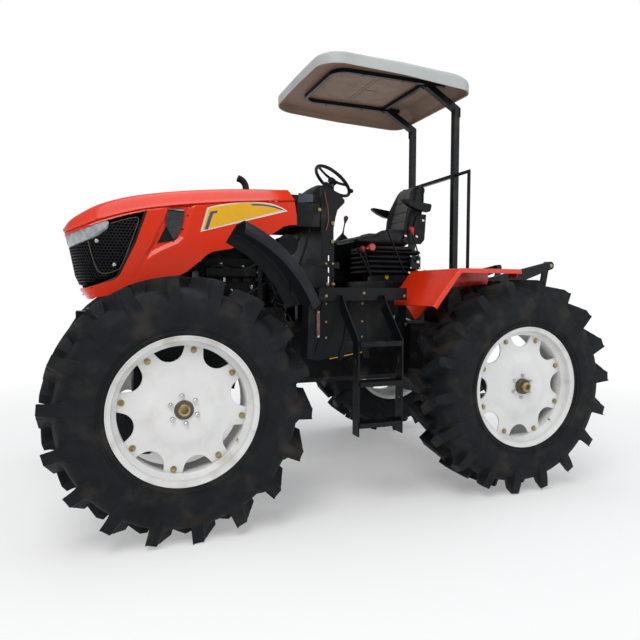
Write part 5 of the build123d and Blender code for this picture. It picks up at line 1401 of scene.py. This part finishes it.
red_grips.lathe((-243, 222, 1876), (0.3, 0, 0.95), ((-6, 8), (4, 13), (26, 17), (40, 18), (46, 10)), 16)
red_grips.lathe((-678, 292, 2033), (0.2, 0, 0.98), ((-8, 10), (4, 14), (30, 21), (52, 23), (62, 12)), 16)
red_grips.build("red_grips", "chassis", red_knob, "plastic_black", smooth=50)

# ------------------------------------------------------------------ steering wheel and dash
TILT = math.radians(40.4)
HUB = Vector((-47, 0, 2494))
NORMAL = Vector((-math.sin(TILT), 0, math.cos(TILT)))
FORE = Vector((math.cos(TILT), 0, math.sin(TILT)))
SIDE = Vector((0, 1, 0))
HAND_R = 180


def on_wheel(radius, degrees, up=0.0):
    """Point of the steering wheel; the angle runs from straight ahead to the left."""
    a = math.radians(degrees)
    return HUB + FORE * radius * math.cos(a) + SIDE * radius * math.sin(a) + NORMAL * up


wheel, column, dash = (Shape() for _ in range(3))
# Rim with its grip marks, spokes, boss and knob
rings = []
for k in range(96):
    degrees = 360 * k / 96
    centre = on_wheel(HAND_R, degrees)
    out = on_wheel(1, degrees) - HUB
    rings.append([centre + (13.3 if m % 4 == 2 and k % 2 else 14.5) * (c * out + s * NORMAL)
                  for m, (c, s) in enumerate(turns(16))])
wheel.loop(rings, closed=True)
for degrees in (0, 120, 240):
    across = NORMAL.cross(on_wheel(1, degrees) - HUB)
    rings = []
    for radius, half, thick, up in ((20, 24, 9, 4), (50, 19, 8, 0), (90, 15, 7, -3), (135, 15, 7, -2),
                                    (160, 18, 8, 0), (176, 22, 9, 0)):
        centre = on_wheel(radius, degrees, up)
        rings.append([centre + across * half * squared(c, 0.6) + NORMAL * thick * squared(s, 0.6)
                      for c, s in turns(16)])
    wheel.loop(rings)
wheel.lathe(HUB, NORMAL, ((-22, 30), (-20, 38), (-4, 42), (6, 42), (14, 36), (18, 24), (19, 4)), 36)
wheel.lathe(on_wheel(HAND_R, 160), NORMAL,
            ((0, 9), (16, 8), (20, 15), (26, 20), (38, 21), (46, 15), (48, 4)), 20)
wheel_obj = wheel.build("steering_rim", "steering_wheel", black_plastic, "plastic_black", smooth=50)
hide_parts("steering_wheel")
column.lathe(HUB, NORMAL, ((-137, 52), (-120, 50), (-70, 44), (-50, 38), (-46, 30), (-46, 12), (-24, 12)), 32)
column.lathe(HUB - NORMAL * 60, NORMAL, ((-14, 46), (-6, 49), (6, 48), (10, 40)), 32)
column_obj = column.build("column_cover", "chassis", black_plastic, "plastic_black", smooth=50)
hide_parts("steering_column")
rings = []
for y in (-196, -190, -150, -90, 0, 90, 150, 190, 196):
    drop = 14 * (abs(y) / 196) ** 4
    rings.append([(x, y, z - (0 if z < 2295 else drop))
                  for x, z in ((-12, 2291), (-14, 2300), (38, 2352), (78, 2400), (96, 2424), (112, 2427),
                               (150, 2426), (178, 2404), (212, 2362), (214, 2291))])
dash.loop(rings)
dash_obj = dash.build("dash_hood", "chassis", black_plastic, "plastic_black", smooth=45)
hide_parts("dash_panel")

# ------------------------------------------------------------------ brackets, panels and bolts of the frame
bolts, strap, cowl, cable = (Shape() for _ in range(4))
for side in BOTH:
    bolts.side_bolts(side, 392, ((160, 1590), (111, 1590), (174, 1754), (116, 1755), (116, 1933), (116, 2080),
                                 (231, 2181)), 17, 8)
    for x in (-560, -640, -760, -900, -1040):
        bolts.bolt((x, side * 560, 1705), (0, 0, 1), 13, 6)
    bolts.side_bolts(side, 613, [(x, z) for z in (1440, 1180, 1300) for x in (-40, 265)], 17, 8)
    bolts.side_bolts(side, 850, ((-280, 1500), (60, 1520), (360, 1500)), 13, 7)
    bolts.side_bolts(side, 216, ((840, 1090), (900, 1130), (960, 1090), (1700, 1090), (1780, 1130),
                                 (1860, 1090)), 21, 11)
    strap.prism([(60, 1715), (340, 1745), (345, 1790), (300, 1795), (60, 1765)], side * 393, side * 399)
    strap.prism([(255, 2246), (404, 2242), (404, 2296), (262, 2301)], side * 372, side * 379)
    strap.prism([(262, 2158), (398, 2152), (400, 2060), (262, 2056)], side * 379, side * 384)
    for z in (1640, 1930):
        strap.side_box(side, 392, 4, 98, z, 112, z + 12)
    strap.box((203, side * 380 - 14, 1562), (217, side * 392 + 3, 2366))
    strap.prism([(-60, 1463), (70, 1463), (120, 1150), (170, 1010), (120, 1010), (80, 1150), (-10, 1150),
                 (-60, 1010), (-110, 1010), (-90, 1150)], side * 613, side * 619)
    strap.prism([(200, 1463), (300, 1463), (330, 1150), (360, 1060), (300, 1060), (200, 1200)], side * 613,
                side * 617)
    cowl.prism([(283, 2240), (282, 2300), (405, 2303), (408, 2229)], side * 379, side * 382)
    cowl.prism([(284, 2154), (300, 2199), (404, 2201), (402, 2149)], side * 368, side * 371)
bolts.build("body_bolts", "chassis", yellow_zinc, "bright_steel", smooth=30)
strap.build("brackets_black", "chassis", black_paint, "frame_black", smooth=30, bevel=0.002)
cowl.build("cowl_panels", "chassis", cowl_gloss, "frame_black", smooth=30)
cable.curve([(190, 396, 2330), (178, 398, 2260), (160, 400, 2180), (158, 400, 2090), (176, 398, 2020)], 3.2)
cable.build("dash_cable", "chassis", red_cable, smooth=60)

# ------------------------------------------------------------------ under the hood
hoses, bright, clamps, fins = (Shape() for _ in range(4))
rng = random.Random(5)
for side in BOTH:
    hoses.curve([(560, side * 190, 1840), (640, side * 235, 1800), (760, side * 245, 1720),
                 (900, side * 240, 1700), (1040, side * 250, 1730), (1150, side * 220, 1640)], 13, 10)
    hoses.curve([(620, side * 205, 1600), (700, side * 262, 1560), (830, side * 270, 1500),
                 (960, side * 255, 1520), (1100, side * 262, 1450), (1160, side * 220, 1320)], 9)
    hoses.curve([(360, side * 330, 2000), (420, side * 300, 1870), (520, side * 285, 1740),
                 (560, side * 280, 1600), (520, side * 270, 1490)], 11)
    hoses.curve([(300, side * 350, 2030), (330, side * 330, 1880), (390, side * 320, 1700),
                 (420, side * 310, 1560)], 8)
    hoses.curve([(1180, side * 90, 1700), (1260, side * 150, 1780), (1380, side * 190, 1800),
                 (1482, side * 180, 1790)], 24, 12)
    hoses.curve([(1180, side * 100, 1250), (1280, side * 190, 1300), (1400, side * 210, 1290),
                 (1484, side * 180, 1300)], 22, 12)
    for k in range(16):
        x = rng.uniform(670, 1150)
        z = rng.uniform(1280, 1760)
        dx, dz = rng.uniform(-80, 80), rng.uniform(-70, 70)
        y = side * rng.uniform(196, 232)
        hoses.curve([(x, y, z), (x + dx * 0.4, y + side * 14, z + dz * 0.6), (x + dx, y, z + dz)],
                    rng.uniform(3.5, 7), 7, 4)
    for x in range(690, 1075, 96):
        hoses.lathe((x, side * 186, 1700), (0, side, 0), ((0, 24), (12, 24), (18, 17), (30, 15), (34, 9)), 16)
        hoses.side_box(side, 206, 12, x - 30, 1610, x + 22, 1640)
    for x0, x1 in ((660, 690), (1120, 1146)):
        hoses.box((x0, side * 190 - 8, 1350), (x1, side * 190 + 22, 1760))
    hoses.box((650, side * 215, 1470), (1160, side * 223, 1490))
hoses.box((430, -3, 1290), (648, 3, 1830))
hoses.box((648, -3, 1850), (1176, 3, 2040))
hoses.box((1176, -3, 1300), (1478, 3, 2000))
for side in BOTH:
    for k in range(9):
        x = rng.uniform(420, 620)
        z = rng.uniform(1330, 1760)
        hoses.curve([(x, side * 60, z), (x + rng.uniform(-60, 60), side * 150, z + rng.uniform(-90, 90)),
                     (x + rng.uniform(-90, 90), side * 200, z + rng.uniform(-160, 160))],
                    rng.uniform(6, 16), 9, 4)
    hoses.side_box(side, 60, 50, 440, 1330, 560, 1560)
hoses.build("engine_hoses", "chassis", hose, "engine_black", smooth=50)
for side in BOTH:
    for k in range(22):
        x = rng.uniform(660, 1160)
        z = rng.uniform(1260, 1770)
        bright.bolt((x, side * 196, z), (0, side, 0), 12, 18)
    for x, z in ((470, 1900), (640, 1900), (690, 1870)):
        bright.tube([(x, side * 120 - 3, z - 60), (x, side * 120 - 3, z + 20)], 4, 8)
    bright.side_box(side, 236, 3, 958, 1560, 974, 1700)
bright.build("engine_fittings", "chassis", zinc, "bright_steel", smooth=30)
for x, z, fall in ((560, 1900, 0), (640, 1898, -0.1)):
    clamps.lathe((x, 185, z), (1, 0, fall), ((-8, 40.5), (8, 40.5), (8, 38), (-8, 38)), 28, closed=True)
clamps.build("duct_clamps", "chassis", zinc, "bright_steel", smooth=40)
for k in range(60):
    z = 1200 + 11.6 * k
    fins.box((1579, -285, z), (1582, 285, z + 3))
for y in (-296, 296):
    fins.box((1478, y - 8, 1182), (1586, y + 8, 1902))
fins.build("radiator_fins", "chassis", black_and_painted_shade, "engine_black", smooth=30)

# ------------------------------------------------------------------ ladders and their marks
treads, bar, bar_ends, strip = (Shape() for _ in range(4))
for side in BOTH:
    for z in (1189, 916, 634):
        for k in range(13):
            x = -68 + 25 * k
            for y in (1078, 1172):
                treads.side_box(side, y, 5, x, z - 1, x + 14, z + 4)
        for y in (1065, 1184):
            treads.tube([(-82, side * y, z - 1), (247, side * y, z - 1)], 4, 8)
    for x in (-85, 250):
        treads.box((x - 4, side * 846, 1465), (x + 4, side * 905, 1505))
    bar.side_box(side, 622, 6, 318, 1180, 344, 1390)
    for z in (1192, 1378):
        bar_ends.lathe((331, side * 628, z), (0, side, 0), ((0, 11), (4, 11), (9, 6)), 16)
    strip.loop([[(x, side * 600, z), (x, side * 616, z), (x, side * 616, z + 6), (x, side * 600, z + 6)]
                for x, z in ((-60, 1058), (230, 1012))])
treads.build("ladder_treads", "chassis", black_paint, "frame_black", 30, 0.0008, 1)
bar.build("sight_bar", "chassis", reflector, "lamp_glass", smooth=30, bevel=0.003)
bar_ends.build("sight_bar_ends", "chassis", zinc, "bright_steel", smooth=50)
strip.build("yellow_strip", "chassis", yellow_mark, "frame_black", smooth=30)

# ------------------------------------------------------------------ castings, hitch and rear
for name, side in SIDES:
    flange = Shape()
    for c, s in turns(10):
        flange.bolt((FRONT_X + 132 * c, side * 858, AXLE_Z + 132 * s), (0, -side, 0), 17, 9)
    flange.build("final_drive_bolts_" + name, "knuckle_" + name, steel, "bright_steel", smooth=30)
COUPLER = ((0, 24), (20, 24), (26, 18), (44, 18), (46, 10))
casting, pins, couplers, rear_lamps = (Shape() for _ in range(4))
for c, s in turns(12):
    casting.bolt((FRONT_X + 152 * c * 0.86, 130 * s, AXLE_Z - 118), (0, 0, -1), 15, 8)
for side in BOTH:
    casting.side_bolts(side, 192, [(x, 1240) for x in range(-680, 600, 160)], 17, 9)
    pins.lathe((-2118, side * 401, 1780), (0, side, 0), ((0, 17), (6, 17), (8, 12), (14, 12), (15, 8)), 18)
    pins.lathe((-1450, side * 401, 1590), (0, side, 0),
               ((0, 44), (6, 44), (9, 38), (9, 20), (16, 20), (17, 12)), 28)
    couplers.curve([(-1300, side * 140, 1560), (-1400, side * 170, 1640), (-1500, side * 150, 1560),
                    (-1570, side * 120, 1420)], 11, 10)
    for y in (90, 30):
        couplers.lathe((-1562, side * y, 1400), (-1, 0, 0), COUPLER, 18)
    rear_lamps.side_box(side, 1060, 50, -1117, 1640, -1109, 1690)
casting.build("casting_bolts", "chassis", steel, "bright_steel", smooth=30)
pins.build("lift_arm_pins", "lift_arms", yellow_zinc, "bright_steel", smooth=35)
couplers.build("rear_couplers", "chassis", hose, "frame_black", smooth=45)
rear_lamps.build("rear_lamps", "chassis", red_knob, "lamp_glass", smooth=30, bevel=0.003)

# ------------------------------------------------------------------ finishes of the CAD nodes that stay
FINISH = (
    (cast_iron, ("front_axle", "knuckle_left", "knuckle_right", "transmission", "rear_casing",
                 "axle_trumpets", "lift_housing")),
    (steel, ("tie_rod", "pto_shaft")),
    (black_paint, ("front_frame", "rear_cowl", "dash_tower", "platform_frame", "platform_floor", "seat_deck",
                   "ladders", "canopy_frame", "lift_arms", "lift_rod_left", "lift_rod_right",
                   "lower_link_left", "lower_link_right", "drawbar")),
    (engine_black, ("engine_block", "radiator", "air_cleaner")),
    (tank_paint, ("side_tanks",)),
)
for finish, names in FINISH:
    for name in names:
        data = nodes[name].data
        data.materials.clear()
        data.materials.append(finish)

# ------------------------------------------------------------------ camera, floor and light
yaw, pitch, roll = math.radians(20.774), math.radians(-2.701), math.radians(0.161)
ahead = Vector((-math.sin(yaw) * math.cos(pitch), -math.cos(yaw) * math.cos(pitch), math.sin(pitch)))
level = Vector((-math.cos(yaw), math.sin(yaw), 0))
above = level.cross(ahead)
right = math.cos(roll) * level + math.sin(roll) * above
up = -math.sin(roll) * level + math.cos(roll) * above
camera = link("camera", bpy.data.cameras.new("camera"))
basis = Matrix((right, up, -ahead)).transposed().to_4x4()
camera.matrix_world = Matrix.Translation((1.9141, 4.5991, 1.5372)) @ basis
camera.data.sensor_width = 36
camera.data.lens = 31.818
camera.data.shift_x = 0.01719
camera.data.shift_y = -0.00406
camera.data.clip_end = 300
bpy.context.scene.camera = camera

world = bpy.data.worlds.new("world")
bpy.context.scene.world = world
world.use_nodes = True
tree = world.node_tree
tree.nodes.clear()
lit = node(tree, "Background", {"Color": (0.93, 0.96, 1.0, 1), "Strength": 0.42})
seen = node(tree, "Background", {"Color": (1, 1, 1, 1), "Strength": 1.0})
ray = node(tree, "LightPath")
choose = node(tree, "MixShader", {0: ray.outputs["Is Camera Ray"], 1: lit.outputs[0], 2: seen.outputs[0]})
node(tree, "OutputWorld", {0: choose.outputs[0]})

# white floor that glows away from the middle, so that its edge doesn't show
floor_mesh = bpy.data.meshes.new("floor")
floor_mesh.from_pydata([(-80, -80, 0), (80, -80, 0), (80, 80, 0), (-80, 80, 0)], [], [(0, 1, 2, 3)])
floor = link("floor", floor_mesh)
paper = bpy.data.materials.new("floor")
paper.use_nodes = True
tree = paper.node_tree
tree.nodes.clear()
matt = node(tree, "BsdfPrincipled", {"Base Color": (0.9, 0.9, 0.9, 1), "Roughness": 0.9,
                                     "Specular IOR Level": 0.1})
glow = node(tree, "Emission", {"Color": (1, 1, 1, 1)})
away = node(tree, "VectorMath", {0: node(tree, "TexCoord").outputs["Object"]}, operation="LENGTH")
fade = node(tree, "MapRange", {0: away.outputs["Value"], "From Min": 1.0, "To Min": 0.25, "From Max": 6.5})
blend = node(tree, "MixShader", {0: fade.outputs[0], 1: matt.outputs[0], 2: glow.outputs[0]})
node(tree, "OutputMaterial", {0: blend.outputs[0]})
floor_mesh.materials.append(paper)


def area(name, place_at, look_at, size, power, colour):
    """Round area light that faces a point."""
    data = bpy.data.lights.new(name, "AREA")
    data.shape = "DISK"
    data.size = size
    data.energy = power
    data.color = colour
    lamp_obj = link(name, data)
    lamp_obj.location = place_at
    lamp_obj.rotation_euler = (Vector(look_at) - Vector(place_at)).to_track_quat("-Z", "Y").to_euler()


area("key", (3.5, 5.0, 7.5), (0, 0, 0.9), 5.0, 370, (1.0, 0.985, 0.96))
area("fill", (-4.5, 5.5, 3.5), (0, 0, 1.0), 5.0, 95, (0.95, 0.97, 1.0))
area("sky", (0, -1.0, 9.0), (0, 0, 0), 9.0, 270, (0.95, 0.98, 1.0))

bpy.context.scene.view_settings.view_transform = "Standard"
bpy.context.view_layer.update()
